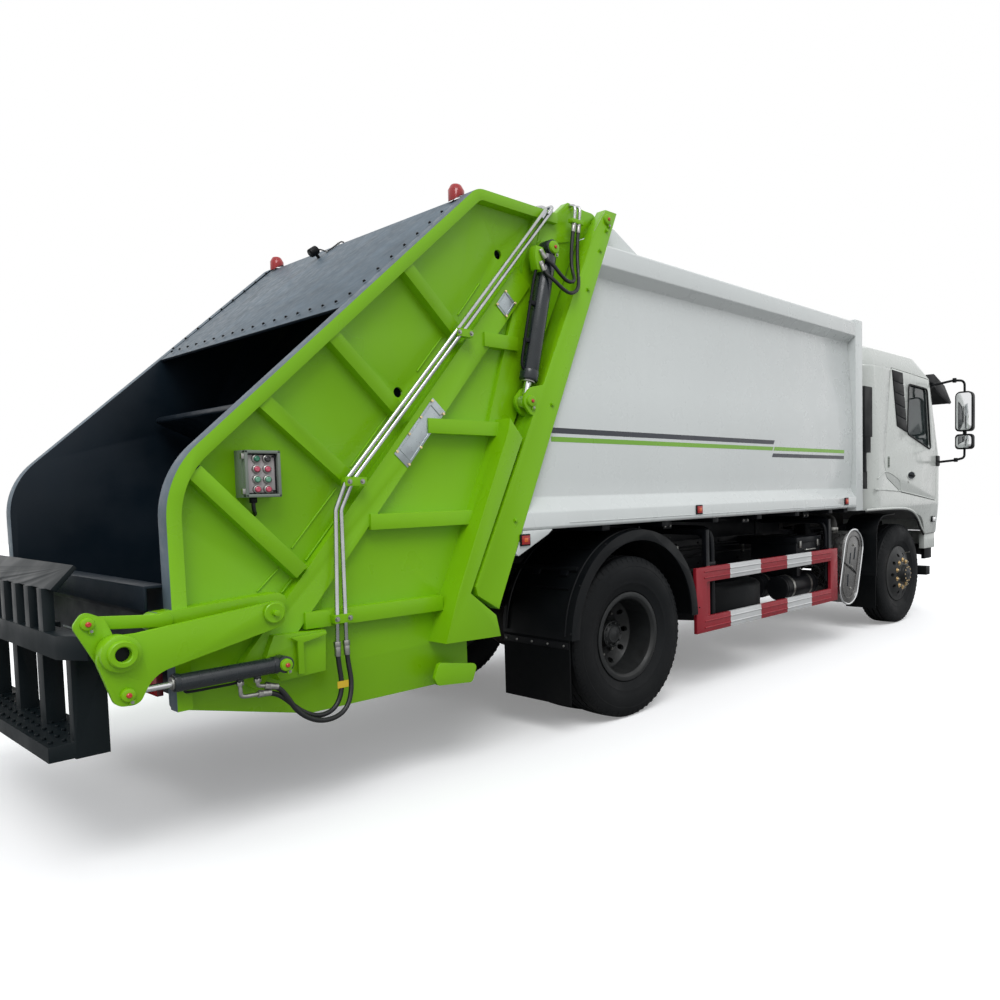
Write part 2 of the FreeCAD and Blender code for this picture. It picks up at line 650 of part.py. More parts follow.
def make_cab():
    outer = cab_solid(0, 0)
    shell = outer.cut(cab_solid(48, 50))
    floor_cut = prism("XZ", [(3000, 700), (3000, 922), (6200, 922), (6200, 700)], -1300, 1300)
    shell = shell.cut(floor_cut)
    shell = shell.cut(prism("XZ", ARCH, -1300, 1300))
    for low in range(1010, 1400, 76):
        shell = shell.fuse(prism("XY", GRILLE_BAR, low, low + 42))
    door_prism = prism("XZ", DOOR, -1300, -900)
    gap_outline = [(x + (6 if x > 4600 else -6), z + (6 if z > 2000 else -6), *r) for x, z, *r in DOOR]
    gap = prism("XZ", gap_outline, -1300, -900)
    door = shell.common(door_prism)
    glass_hole = prism("XZ", DOOR_GLASS, -1300, -900)
    pane_shell = cab_solid(16, 16).cut(cab_solid(24, 22))
    glass = pane_shell.common(glass_hole)
    door = door.cut(glass_hole)
    pair("door", feature("door_right", door))
    pair("door_glass", feature("door_glass_right", glass))

    mirror = FreeCAD.Matrix()
    mirror.scale(1, -1, 1)
    shell = shell.cut(gap)
    shell = shell.cut(gap.transformGeometry(mirror))

    wind_low, wind_high = 1790, 2560
    opening = prism("YZ", [(-1030, wind_low, 90), (1030, wind_low, 90), (960, wind_high, 90),
                           (-960, wind_high, 90)], 5080, 6000)
    windshield = pane_shell.common(opening)
    shell = shell.cut(opening)
    rear_hole = prism("YZ", [(-420, 1950, 60), (420, 1950, 60), (420, 2450, 60), (-420, 2450, 60)],
                      3500, 3800)
    rear_pane = pane_shell.common(rear_hole)
    node("cab_glass", feature("cab_glass", Part.Compound([windshield, rear_pane])))
    shell = shell.cut(rear_hole)

    roof_box = prism("XZ", [(3300, 2660), (3300, 3000), (6200, 3000), (6200, 2660)], -1300, 1300)
    front_box = prism("XZ", [(5330, 600), (5330, 2660), (6200, 2660), (6200, 600)], -1300, 1300)
    rear_box = prism("XZ", [(3300, 600), (3300, 2660), (3790, 2660), (3790, 600)], -1300, 1300)
    node("cab_roof", feature("cab_roof", shell.common(roof_box)))
    node("cab_front", feature("cab_front", shell.common(front_box)))
    node("cab_rear_wall", feature("cab_rear_wall", shell.common(rear_box)))
    middle = shell.cut(roof_box).cut(front_box).cut(rear_box)
    right_half = prism("XZ", [(3300, 500), (3300, 3000), (6200, 3000), (6200, 500)], -1300, 0)
    both("cab_sides", feature("cab_side_right", middle.common(right_half)))

    inner = cab_solid(49, 50)
    deck = [(3660, 1260), (4790, 1260), (5050, 1075), (5820, 1075), (5820, 1110), (5065, 1110),
            (4805, 1300), (3660, 1300)]
    floor = inner.common(prism("XZ", deck, -1200, 1200))
    node("cab_floor", feature("cab_floor", floor))

    dash_outline = [(5795, 1330), (5480, 1330, 40), (5330, 1560, 60), (5380, 1720, 60), (5500, 1785, 60),
                    (5795, 1775)]
    dash = inner.common(prism("XZ", dash_outline, -1200, 1200))
    node("dashboard", feature("dashboard", dash))
    hub = (5180, 560, 1700)
    lean = Vector(-0.42, 0, 0.907)
    wheel = Part.makeTorus(215, 17, Vector(), Vector(0, 0, 1))
    wheel = wheel.fuse(Part.makeCylinder(62, 40, Vector(0, 0, -32)))
    for turn in (0, 120, 240):
        spoke = Part.makeBox(215, 34, 18, Vector(0, -17, -14))
        spoke.rotate(Vector(), Vector(0, 0, 1), turn)
        wheel = wheel.fuse(spoke)
    wheel = wheel.fuse(Part.makeCylinder(24, 560, Vector(0, 0, -585)))
    wheel.Placement = FreeCAD.Placement(Vector(hub[0] + size("rear_axle"), hub[1], hub[2]),
                                        Rotation(Vector(0, 0, 1), lean))
    wheel = wheel.cut(dash.fuse(floor))
    wheel = max(wheel.Solids, key=lambda s: s.Volume)
    node("steering_wheel", feature("steering_wheel", wheel))

    seats = []
    for middle_y in (560, -560):
        side_view = [(4130, 1300), (4560, 1300), (4620, 1460, 60), (4620, 1590, 70), (4230, 1570, 40),
                     (4060, 2260, 60), (3920, 2260, 60), (4080, 1560, 60)]
        seats.append(plate("seat", "XZ", side_view, middle_y - 250, middle_y + 250))
    node("seats", group("seats", *seats))


def make_cab_fittings():
    arm_top = pipe("mirror_arm_top", [(5300, -1120, 2575), (5420, -1340, 2625, 60),
                                      (5500, -1430, 2620, 50), (5505, -1430, 2480)], 13)
    arm_low = pipe("mirror_arm_low", [(5390, -1140, 1715), (5470, -1340, 1735, 60),
                                      (5500, -1430, 1760, 40), (5505, -1430, 1880)], 13)
    main = plate("mirror_main", "YZ", [(-1530, 2055, 45), (-1335, 2055, 45), (-1335, 2500, 60),
                                       (-1530, 2500, 60)], 5470, 5545)
    low = plate("mirror_low", "YZ", [(-1530, 1855, 40), (-1335, 1855, 40), (-1335, 2025, 40),
                                     (-1530, 2025, 40)], 5470, 5540)
    link = block("mirror_link", (5490, 5520), (-1450, -1415), (2000, 2080))
    cab_outline = feature("cab_outline", cab_solid(0, 0))
    mirror = merge("mirror", arm_top, arm_low, main, low, link)
    both("mirrors", cut("mirror_trimmed", mirror, cab_outline))

    visor = [(5380, 2690), (5690, 2585), (5908, 2415), (5930, 2428), (5705, 2612), (5400, 2718)]
    blade = plate("visor_blade", "XZ", visor, -1120, 1120)
    wing = [(5130, 2606), (5130, 2668), (5390, 2708), (5700, 2606), (5915, 2430), (5880, 2408),
            (5460, 2530), (5370, 2570), (5345, 2606)]
    wings = [plate("visor_wing", "XZ", wing, *sorted((side * 1116, side * 1134)))
             for side in (RIGHT, LEFT)]
    node("sun_visor", cut("sun_visor", merge("visor_whole", blade, *wings), cab_outline))

    column = plate("intake_column", "XY", [(3370, -1222, 45), (3600, -1222, 45), (3600, -960, 45),
                                           (3370, -960, 45)], 1940, 2415)
    body = plate("intake_body", "XY", [(3385, -1215, 60), (3590, -1215, 60), (3590, -980, 60),
                                       (3385, -980, 60)], 1790, 1945)
    elbow = bar("intake_elbow", (3490, -1100, 1600), (3490, -1100, 1800), 88)
    duct = bar("intake_duct", (3490, -1100, 1510), (3490, -520, 1340), 60)
    neck = block("intake_neck", (3420, 3560), (-1170, -1030), (1440, 1610))
    foot = block("intake_foot", (3440, 3540), (-560, "-rail_outer"), (960, 1400))
    brace = block("intake_brace", (3460, 3520), (-1000, -500), (1960, 2000))
    post = block("intake_post", (3460, 3520), (-540, -480), (1300, 2000))
    node("air_intake", merge("air_intake", column, body, elbow, duct, neck, foot, brace, post))


# Tailgate: shell sides with their rims and ribs, hopper trough, canopy, cross beams

RIM = [(-2758, 632), (-2765, 1582, 420), (-1150, 3103, 120), (-560, 3103)]
SIDE = [(-362, 3020), (-560, 3103), (-1150, 3103, 120), (-2765, 1582, 420), (-2758, 632, 30),
        (-2167, 487), (-1261, 487), (-1261, 700), (-1165, 714), (-1180, 846), (-1336, 996),
        (-960, 1781)]


def slanted(name, start, end, width, y_low, y_high, plane="XZ"):
    """Straight box between two points of the side view."""
    along = Vector(end[0] - start[0], end[1] - start[1], 0).normalize() * (width / 2)
    outline = [(start[0] - along.y, start[1] + along.x), (start[0] + along.y, start[1] - along.x),
               (end[0] + along.y, end[1] - along.x), (end[0] - along.y, end[1] + along.x)]
    return plate(name, plane, outline, y_low, y_high)


def make_tailgate():
    ovals = [("round", -962, 2802, 26), ("round", -1635, 1994, 26)]
    pieces = [plate("tail_sheet", "XZ", SIDE, "-tail_sheet", "-tail_inner", ovals)]
    pieces.append(plate("tail_rim", "XZ", strip(RIM[::-1], 58), "-tail_rim", "-tail_sheet"))
    ribs = (((-2645, 1597), (-2207, 1147)), ((-2345, 1902), (-1948, 1557)),
            ((-2014, 2228), (-1657, 1884)), ((-1598, 2612), (-1299, 2324)))
    for start, end in ribs:
        pieces.append(slanted("tail_rib", start, end, 70, -1160, "-tail_sheet"))
    pieces.append(slanted("tail_diagonal", (-817, 2700), (-2473, 690), 134, -1145, "-tail_sheet"))
    for start, end in (((-1120, 2313), (-880, 2313)), ((-1500, 1832), (-1000, 1832)),
                       ((-1850, 1356), (-1220, 1356)), ((-2200, 924), (-1450, 918))):
        pieces.append(slanted("tail_cross_rib", start, end, 76, -1158, "-tail_sheet"))
    pillar = [(-1036, 1886), (-951, 1781), (-1340, 962), (-1174, 826), (-1146, 709), (-1505, 721),
              (-1416, 979), (-1049, 1821)]
    pieces.append(plate("tail_pillar", "XZ", pillar, "-tail_outer", "-tail_sheet"))
    upper = [(-352, 3010), (-545, 3088), (-700, 3088), (-1090, 1860), (-951, 1781)]
    pieces.append(plate("tail_upper_plate", "XZ", upper, -1130, "-tail_sheet"))
    head = [(-700, 2900), (-372, 2990), (-219, 3067, 54), (-160, 3127, 54), (-219, 3187, 54),
            (-290, 3187), (-440, 3203, 20), (-672, 2992, 60)]
    arm_plate = plate("hinge_head", "XZ", head, -1136, "-tail_inner", [("round", -219, 3127, 26)])
    pieces.append(arm_plate)
    lug = [(-560, 2800), (-560, 2950), (-668, 2935, 50), (-730, 2873, 50), (-668, 2810, 50)]
    pieces.append(plate("ram_top_lug", "XZ", lug, -1150, -1130))
    bracket = [(-2860, 1040, 40), (-2325, 1070, 40), (-2290, 1040, 30), (-2360, 930, 60),
               (-2760, 960), (-2850, 970, 30)]
    pieces.append(plate("lifter_bracket", "XZ", bracket, "-bracket_outer", "-tail_sheet"))
    base = [(-2400, 790, 20), (-2360, 885), (-2119, 876), (-2127, 690), (-2338, 681)]
    pieces.append(plate("cylinder_base", "XZ", base, "-bracket_outer", "-tail_sheet"))
    pair("tailgate_side", merge("tailgate_side", *pieces))

    trough = [(-2745, 1085), (-2745, 640, 200), (-2150, 503, 300), (-1780, 503, 350), (-1215, 1290)]
    trough_plate = plate("trough_sheet", "XZ", strip(trough, 14), -1084, 1084)
    sill = [(-2830, 1142), (-2830, 1040), (-2818, 1040), (-2818, 1130), (-2745, 1130), (-2745, 1142)]
    sill_angle = plate("sill_angle", "XZ", sill, -1084, 1084)
    back = block("sill_back", (-2759, -2745), (-1084, 1084), (1000, 1135))
    low_beam = block("low_beam", (-1460, -1335), (-1084, 1084), (500, 620))
    low_web = block("low_web", (-1700, -1420), (-1084, 1084), (505, 530))
    mid_beam = block("mid_beam", (-1415, -1325), (-1084, 1084), (880, 980))
    node("hopper_trough", merge("hopper_trough", trough_plate, sill_angle, back, low_beam, low_web,
                                mid_beam))
    canopy = [(-430, 3091), (-1150, 3091, 110), (-1925, 2372)]
    roof_sheet = plate("canopy_sheet", "XZ", strip(canopy, 14), -1084, 1084)
    top_beam = block("top_beam", (-560, -440), (-1084, 1084), (2960, 3092))
    node("tailgate_canopy", merge("tailgate_canopy", roof_sheet, top_beam))


def make_tail_fittings():
    case = block("control_case", (-2457, -2302), (-1175, "-tail_sheet"), (1486, 1686))
    pipes = []
    for shift in (0, 46):
        line = [(-620 - shift, -1185, 3100), (-1950 - shift * 0.8, -1185, 1560, 120),
                (-2020 - shift * 0.6, -1185, 1420, 60), (-2020 - shift, -1185, 780)]
        pipes.append(pipe("tail_pipe", line, 10))
    clips = [block("pipe_clip", xs, (-1200, -1162), zs)
             for xs, zs in (((-2000, -1890), (1530, 1570)), ((-2080, -1990), (898, 938)),
                            ((-1330, -1230), (2300, 2340)))]
    pipe_run = merge("pipe_run", *pipes, *clips)
    hand = plate("handwheel_ring", "XZ", [(-1540, 540, 25), (-1510, 618, 25), (-1262, 572, 25),
                                          (-1300, 478, 25), (-1520, 500, 25)], -1190, -1168)
    screw = bar("handwheel_screw", (-1400, -1185, 550), (-1400, -1100, 550), 22)
    lock = merge("tailgate_lock", hand, screw)
    node("tailgate_fittings", group("tailgate_fittings", case, lock, mirrored("lock_left", lock),
                                    pipe_run, mirrored("pipe_run_left", pipe_run)))
    seat = prism("XZ", [(-1000, 3099), (-1108, 3099), (-1140, 3096), (-1165, 3086), (-1187, 3071),
                        (-1230, 3031), (-1230, 2950), (-1000, 2950)], -1100, 1100)
    seat_shape = feature("beacon_seat", seat)
    beacons = [cut("beacon", turned("beacon_whole", "Z", [(0, 0), (44, 0), (44, 60), (26, 94, 18), (0, 94)],
                                    -1165, 3058, y), seat_shape) for y in (-1010, 1010)]
    lamp = block("lamp_board", (-2800, -2775), (-1080, -780), (690, 800))
    node("warning_lamps", group("warning_lamps", *beacons, lamp, mirrored("lamp_left", lamp)))


# Packer: a carriage plate that slides down the diagonal and a sweep blade hinged below it

def make_packer():
    carriage = slanted("carriage", (-836, 2454), (-1420, 1769), 100, -1040, 1040)
    node("packer_carriage", carriage)
    blade = [(-1455, 1725), (-1485, 1775), (-1520, 1835, 30), (-1975, 2010, 25), (-1992, 1968, 15)]
    hinge = bar("blade_hinge", (-1450, -1040, 1745), (-1450, 1040, 1745), 28)
    face = plate("blade_face", "XZ", blade, -1040, 1040)
    node("sweep_blade", merge("sweep_blade", face, hinge))


# Rams that lift the tailgate

def make_rams():
    top = (-668, 2873)
    eye = (-883, 1988)
    run = Vector(eye[0] - top[0], eye[1] - top[1], 0)
    along = run.normalize()

    def point(distance):
        return top[0] + along.x * distance, top[1] + along.y * distance

    y = -size("ram_middle")
    start, end = point(50), point(790)
    tube = bar("ram_tube", (start[0], y, start[1]), (end[0], y, end[1]), "ram_tube_radius")
    collar = bar("ram_collar", (top[0], y - 38, top[1]), (top[0], y + 38, top[1]), 45)
    neck = bar("ram_neck", (top[0], y, top[1]), (start[0], y, start[1]), 30)
    bore = bar("ram_bore", (point(60)[0], y, point(60)[1]), (point(820)[0], y, point(820)[1]), 26)
    barrel = cut("ram_barrel", merge("ram_barrel_blank", tube, collar, neck), bore)
    both("lift_barrels", barrel)
    rod_start, rod_end = point(110), point(875)
    rod = bar("ram_rod", (rod_start[0], y, rod_start[1]), (rod_end[0], y, rod_end[1]), "ram_rod_radius")
    eye_boss = bar("ram_eye", (eye[0], y - 20, eye[1]), (eye[0], y + 20, eye[1]), 38)
    both("lift_rods", merge("lift_rod", rod, eye_boss))


# Bin lifter at the mouth: two arms, a swinging frame with a comb, tie links and two cylinders

ARM_PIVOT = (-2400, 998)
SHAFT = (-2985, 920)
CRANK_PIN = (-3070, 1036)
LINK_PIN = (-2800, 1011)
ROD_PIN = (-2965, 760)
BASE_PIN = (-2350, 765)


def make_lifter():
    arm = [(-2345, 1050, 40), (-2345, 940, 50), (-2870, 820, 120), (-2925, 715, 42),
           (-3005, 720, 42), (-3062, 900, 60), (-3030, 985, 60), (-2925, 985, 40)]
    arm_plate = plate("arm_plate", "XZ", arm, "-arm_outer", "-arm_inner")
    boss = bar("arm_boss", (SHAFT[0], -1286, SHAFT[1]), (SHAFT[0], -1226, SHAFT[1]), 68)
    pivot = bar("arm_pivot", (ARM_PIVOT[0], -1280, ARM_PIVOT[1]), (ARM_PIVOT[0], -1190, ARM_PIVOT[1]), 30)
    both("lifter_arms", merge("lifter_arm", arm_plate, boss, pivot))

    crank = [(-2945, 870, 30), (-3040, 870, 30), (-3118, 1030, 30), (-3080, 1085, 30), (-3012, 1050, 30)]
    crank_plate = plate("crank_plate", "XZ", crank, "-crank_outer", "-crank_inner")
    stub = bar("shaft_stub", (SHAFT[0], -1221, SHAFT[1]), (SHAFT[0], 0, SHAFT[1]), 36)
    beam = [(-3130, -1060), (-3062, -1182), (-2998, -1182), (-3050, -1040), (-3050, 0), (-3130, 0)]
    main_beam = plate("lifter_beam", "XY", beam, 895, 985)
    posts = [block("lifter_post", xs, ys, zs) for xs, ys, zs in (
        ((-3080, -2962), (-1040, -985), (500, 985)), ((-3070, -3000), (-640, -560), (500, 985)),
        ((-3070, -3000), (-260, -190), (500, 985)))]
    step = block("lifter_step", (-3168, -2962), (-1040, 0), (505, 565))
    comb = [(-3110, 1150), (-3030, 1238), (-3018, 1226), (-3090, 1140)]
    comb_plate = plate("comb_plate", "XZ", comb, -960, 0)
    fingers = [block("comb_finger", (-3125, -3085), (y, y + 60), (980, 1152))
               for y in (-900, -720, -540, -360, -180)]
    right = merge("lifter_frame_half", crank_plate, stub, main_beam, *posts, step, comb_plate, *fingers)
    node("lifter_frame", merge("lifter_frame", right, mirrored("lifter_frame_mirror", right)))

    link = slanted("link_bar", CRANK_PIN, LINK_PIN, 50, "-link_outer", "-link_inner")
    ends = [bar("link_eye", (p[0], -1201, p[1]), (p[0], -1189, p[1]), 32) for p in (CRANK_PIN, LINK_PIN)]
    both("lifter_links", merge("lifter_link", link, *ends))

    y = -size("barrel_middle")
    run = Vector(ROD_PIN[0] - BASE_PIN[0], ROD_PIN[1] - BASE_PIN[1], 0).normalize()

    def point(distance):
        return BASE_PIN[0] + run.x * distance, BASE_PIN[1] + run.y * distance

    start, end = point(20), point(430)
    tube = bar("lifter_tube", (start[0], y, start[1]), (end[0], y, end[1]), "lifter_tube_radius")
    collar = bar("lifter_collar", (BASE_PIN[0], y - 34, BASE_PIN[1]),
                 (BASE_PIN[0], y + 34, BASE_PIN[1]), 36)
    bore = bar("lifter_bore", (point(60)[0], y, point(60)[1]), (point(480)[0], y, point(480)[1]), 20)
    both("lifter_barrels", cut("lifter_barrel", merge("lifter_barrel_blank", tube, collar), bore))
    rod_start, rod_end = point(70), point(590)
    rod = bar("lifter_rod", (rod_start[0], y, rod_start[1]), (rod_end[0], y, rod_end[1]),
              "lifter_rod_radius")
    eye = bar("lifter_eye", (ROD_PIN[0], y - 13, ROD_PIN[1]), (ROD_PIN[0], y + 13, ROD_PIN[1]), 30)
    both("lifter_rods", merge("lifter_rod_whole", rod, eye))


body_frame = make_chassis()
make_axles()
make_wheels()
make_knuckles()
make_container(body_frame)
make_side_equipment()
make_bumper()
make_cab()
make_cab_fittings()
make_tailgate()
make_tail_fittings()
make_packer()
make_rams()
make_lifter()
doc.recompute()

# Check every object, then write each sub-part
for obj in doc.Objects:
    faults = [word for word in obj.State if word in ("Invalid", "Error")]
    if faults:
        raise RuntimeError(f"{obj.Name} ({obj.Label}) failed: {faults}")
os.makedirs("parts", exist_ok=True)
for name, obj in nodes.items():
    shape = obj.Shape
    if shape.isNull() or not shape.isValid() or shape.Volume <= 0:
        raise RuntimeError(f"{name} has no valid shape")
    shape.exportStep(f"parts/{name}.step")
    box = shape.BoundBox
    print(f"{name}: {len(shape.Solids)} solids, {shape.Volume / 1e9:.4f} m3, "
          f"X {box.XMin:.0f}..{box.XMax:.0f} Y {box.YMin:.0f}..{box.YMax:.0f} "
          f"Z {box.ZMin:.0f}..{box.ZMax:.0f}")
print(len(nodes), "sub-parts")
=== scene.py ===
# %% [markdown]
# # A rear-loading garbage truck
# This lesson dresses a imported model of a garbage truck with Blender: paint, rubber, glass, bolts,
# pipes, lamps and all the small things that a welded, painted truck really has.
# The imported model is the frame. Its bodies move on joints, and every piece made here but the
# hanging oil hoses rides on one of them, so the same script looks right with the tailgate up, the
# doors open or the wheels turned; those hoses ride on no body.

import json
import math
from contextlib import contextmanager

import bpy
from mathutils import Euler, Matrix, Vector

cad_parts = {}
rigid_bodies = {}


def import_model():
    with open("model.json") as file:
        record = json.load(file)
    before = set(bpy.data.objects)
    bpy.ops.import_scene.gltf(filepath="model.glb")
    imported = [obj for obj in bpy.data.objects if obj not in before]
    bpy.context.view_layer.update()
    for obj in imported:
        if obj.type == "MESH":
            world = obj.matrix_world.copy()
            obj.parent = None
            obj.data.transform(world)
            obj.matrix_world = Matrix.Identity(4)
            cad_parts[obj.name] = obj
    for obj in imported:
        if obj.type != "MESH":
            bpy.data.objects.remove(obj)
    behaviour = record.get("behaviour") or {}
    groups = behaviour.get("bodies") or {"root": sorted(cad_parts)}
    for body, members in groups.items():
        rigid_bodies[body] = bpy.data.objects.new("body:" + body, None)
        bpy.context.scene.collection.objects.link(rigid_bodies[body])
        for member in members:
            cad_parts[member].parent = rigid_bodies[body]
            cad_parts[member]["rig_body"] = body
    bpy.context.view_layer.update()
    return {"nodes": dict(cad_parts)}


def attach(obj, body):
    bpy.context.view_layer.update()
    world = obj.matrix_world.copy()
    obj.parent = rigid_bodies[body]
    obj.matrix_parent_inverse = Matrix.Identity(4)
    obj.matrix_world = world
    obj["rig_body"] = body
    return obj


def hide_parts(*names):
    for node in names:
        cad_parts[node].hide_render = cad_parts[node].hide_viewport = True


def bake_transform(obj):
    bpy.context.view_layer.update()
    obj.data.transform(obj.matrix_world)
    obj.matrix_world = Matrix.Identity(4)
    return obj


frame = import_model()

# %% [markdown]
# ## Measuring along the truck
# The truck was measured from its rear axle, which stands 1.38 m behind the middle of its length.
# All places below are written as metres ahead of the rear axle, to the left, and up from the road,
# so `at` moves them into the frame. Nothing is selected when a tool starts, because a Blender
# operator acts on everything that is selected, and the loaded model comes in selected.

# %% Places and selection
REAR_AXLE = -1.38
RIGHT, LEFT = -1, 1


def at(x, y, z):
    return Vector((x + REAR_AXLE, y, z))


def nothing_selected():
    if bpy.context.object and bpy.context.object.mode != "OBJECT":
        bpy.ops.object.mode_set(mode="OBJECT")
    bpy.ops.object.select_all(action="DESELECT")


def only(piece):
    nothing_selected()
    piece.select_set(True)
    bpy.context.view_layer.objects.active = piece
    return piece


def placed(piece, name):
    """Put a new object's place and turn into its mesh, and name it."""
    piece.name = name
    piece.data.name = name
    bpy.ops.object.transform_apply(location=True, rotation=True, scale=True)
    return piece


# %% [markdown]
# ## Camera
# The picture was taken from behind the truck, low on its right side, with a short lens: the tailgate
# looms large and the cab shrinks away. The camera is set from its measured place, turn and lens.
# A camera looks along its own minus Z, so its matrix is built from the right, up and back directions.

# %% Camera
YAW, PITCH, ROLL = 0.864, -0.058, -0.02
FOCAL_PIXELS, CENTRE_X, CENTRE_Y, PICTURE = 831.9, 636.7, 536.2, 1000
CAMERA_PLACE = (-4.057, -4.716, 1.494)
SENSOR_WIDTH = 36
forward = Vector((math.sin(YAW) * math.cos(PITCH), math.cos(YAW) * math.cos(PITCH), math.sin(PITCH)))
level_right = Vector((math.cos(YAW), -math.sin(YAW), 0))
level_up = level_right.cross(forward)
right = math.cos(ROLL) * level_right + math.sin(ROLL) * level_up
up = math.cos(ROLL) * level_up - math.sin(ROLL) * level_right
nothing_selected()
bpy.ops.object.camera_add(location=at(*CAMERA_PLACE))
camera = bpy.context.object
camera.name = "camera"
turn = Matrix((right, up, -forward)).transposed().to_4x4()
camera.matrix_world = Matrix.Translation(camera.location) @ turn
camera.data.sensor_width = SENSOR_WIDTH
camera.data.lens = SENSOR_WIDTH * FOCAL_PIXELS / PICTURE
camera.data.shift_x = (PICTURE / 2 - CENTRE_X) / PICTURE
camera.data.shift_y = (CENTRE_Y - PICTURE / 2) / PICTURE
camera.data.clip_start = 0.1
camera.data.clip_end = 200
bpy.context.scene.camera = camera
print("lens", round(camera.data.lens, 2), "mm")

# %% [markdown]
# ## Light and floor
# An overcast sky lights the truck: bright from above, soft from all sides, darker below.
# The world gives that light, and one very soft sun adds a little direction. What the camera sees of
# the world, and what metal and glass mirror of it, is plain white. The floor looks pale to the
# camera but is a mid grey to all other rays, so the truck's undersides stay as dark as over a road.

# %% World, sun and floor
LOW_SKY, HIGH_SKY, WHITE = (0.16, 0.165, 0.17, 1), (1.0, 1.02, 1.05, 1), (1, 1, 1, 1)
SUN_POWER, SUN_WIDTH = 1.3, 30
FLOOR_SIZE, FLOOR_GLOW = 60, 0.22
FLOOR_FOR_LIGHT, FLOOR_SEEN = (0.3, 0.3, 0.3, 1), (0.86, 0.86, 0.86, 1)
WORLD_NODES = ("TexCoord", "SeparateXYZ", "ValToRGB", "MapRange", "Background", "Background",
    "LightPath", "Math", "Math", "MixShader", "OutputWorld")
scene = bpy.context.scene
scene.view_settings.view_transform = "Standard"
world = bpy.data.worlds.new("overcast")
scene.world = world
world.use_nodes = True
tree = world.node_tree
tree.nodes.clear()
(sky_place, sky_height, sky_ramp, sky_map, sky_light, sky_seen, rays, seen_or_mirrored, seen_at_all,
    choose, world_out) = [tree.nodes.new("ShaderNode" + kind) for kind in WORLD_NODES]
sky_ramp.color_ramp.elements[0].position = 0.42
sky_ramp.color_ramp.elements[0].color = LOW_SKY
sky_ramp.color_ramp.elements[1].position = 0.78
sky_ramp.color_ramp.elements[1].color = HIGH_SKY
sky_map.inputs["From Min"].default_value = -1
sky_seen.inputs["Color"].default_value = WHITE
seen_or_mirrored.operation = "MAXIMUM"
seen_at_all.operation = "MAXIMUM"
for source, target in ((sky_place.outputs["Generated"], sky_height.inputs[0]),
        (sky_height.outputs["Z"], sky_map.inputs["Value"]), (sky_map.outputs[0], sky_ramp.inputs[0]),
        (sky_ramp.outputs[0], sky_light.inputs["Color"]),
        (rays.outputs["Is Camera Ray"], seen_or_mirrored.inputs[0]),
        (rays.outputs["Is Glossy Ray"], seen_or_mirrored.inputs[1]),
        (seen_or_mirrored.outputs[0], seen_at_all.inputs[0]),
        (rays.outputs["Is Transmission Ray"], seen_at_all.inputs[1]),
        (seen_at_all.outputs[0], choose.inputs[0]), (sky_light.outputs[0], choose.inputs[1]),
        (sky_seen.outputs[0], choose.inputs[2]), (choose.outputs[0], world_out.inputs[0])):
    tree.links.new(source, target)

nothing_selected()
bpy.ops.object.light_add(type="SUN", rotation=Euler((math.radians(38), 0, math.radians(-35))))
sun = bpy.context.object
sun.name = "soft_sun"
sun.data.energy = SUN_POWER
sun.data.angle = math.radians(SUN_WIDTH)
nothing_selected()
bpy.ops.mesh.primitive_plane_add(size=FLOOR_SIZE)
floor = placed(bpy.context.object, "floor")
floor_paint = bpy.data.materials.new("pale_floor")
floor_paint.use_nodes = True
floor_tree = floor_paint.node_tree
floor_shader = floor_tree.nodes["Principled BSDF"]
floor_shader.inputs["Roughness"].default_value = 0.9
floor_shader.inputs["Emission Color"].default_value = WHITE
floor_rays = floor_tree.nodes.new("ShaderNodeLightPath")
floor_tone = floor_tree.nodes.new("ShaderNodeMix")
floor_tone.data_type = "RGBA"
floor_tone.inputs[6].default_value = FLOOR_FOR_LIGHT
floor_tone.inputs[7].default_value = FLOOR_SEEN
floor_tree.links.new(floor_rays.outputs["Is Camera Ray"], floor_tone.inputs[0])
floor_tree.links.new(floor_tone.outputs[2], floor_shader.inputs["Base Color"])
floor_glow = floor_tree.nodes.new("ShaderNodeMath")
floor_glow.operation = "MULTIPLY"
floor_glow.inputs[1].default_value = FLOOR_GLOW
floor_tree.links.new(floor_rays.outputs["Is Camera Ray"], floor_glow.inputs[0])
floor_tree.links.new(floor_glow.outputs[0], floor_shader.inputs["Emission Strength"])
floor.data.materials.append(floor_paint)

# %% [markdown]
# ## Paint, rubber, steel and glass
# A real paint is never one flat colour. It has soft clouds of lighter and darker tone, dust that
# settles low down, faint vertical streaks from rain, and a fine orange-peel surface that breaks up
# its reflections. One helper mixes those four things, each from its own noise on Object
# coordinates, so the pattern has a real scale in metres and stays put on the piece.

# %% Helper for finishes
finishes = {}


def noise(nodes, links, place, scale, detail, stretch=None):
    """A noise pattern, stretched along one direction when asked."""
    texture = nodes.new("ShaderNodeTexNoise")
    texture.inputs["Scale"].default_value = scale
    texture.inputs["Detail"].default_value = detail
    source = place
    if stretch:
        mapping = nodes.new("ShaderNodeMapping")
        mapping.inputs["Scale"].default_value = stretch
        links.new(place, mapping.inputs["Vector"])
        source = mapping.outputs["Vector"]
    links.new(source, texture.inputs["Vector"])
    return texture.outputs["Fac"]


def remap(nodes, links, value, low, high, to_low, to_high):
    step = nodes.new("ShaderNodeMapRange")
    for socket, number in zip(("From Min", "From Max", "To Min", "To Max"),
            (low, high, to_low, to_high)):
        step.inputs[socket].default_value = number
    links.new(value, step.inputs["Value"])
    return step.outputs["Result"]


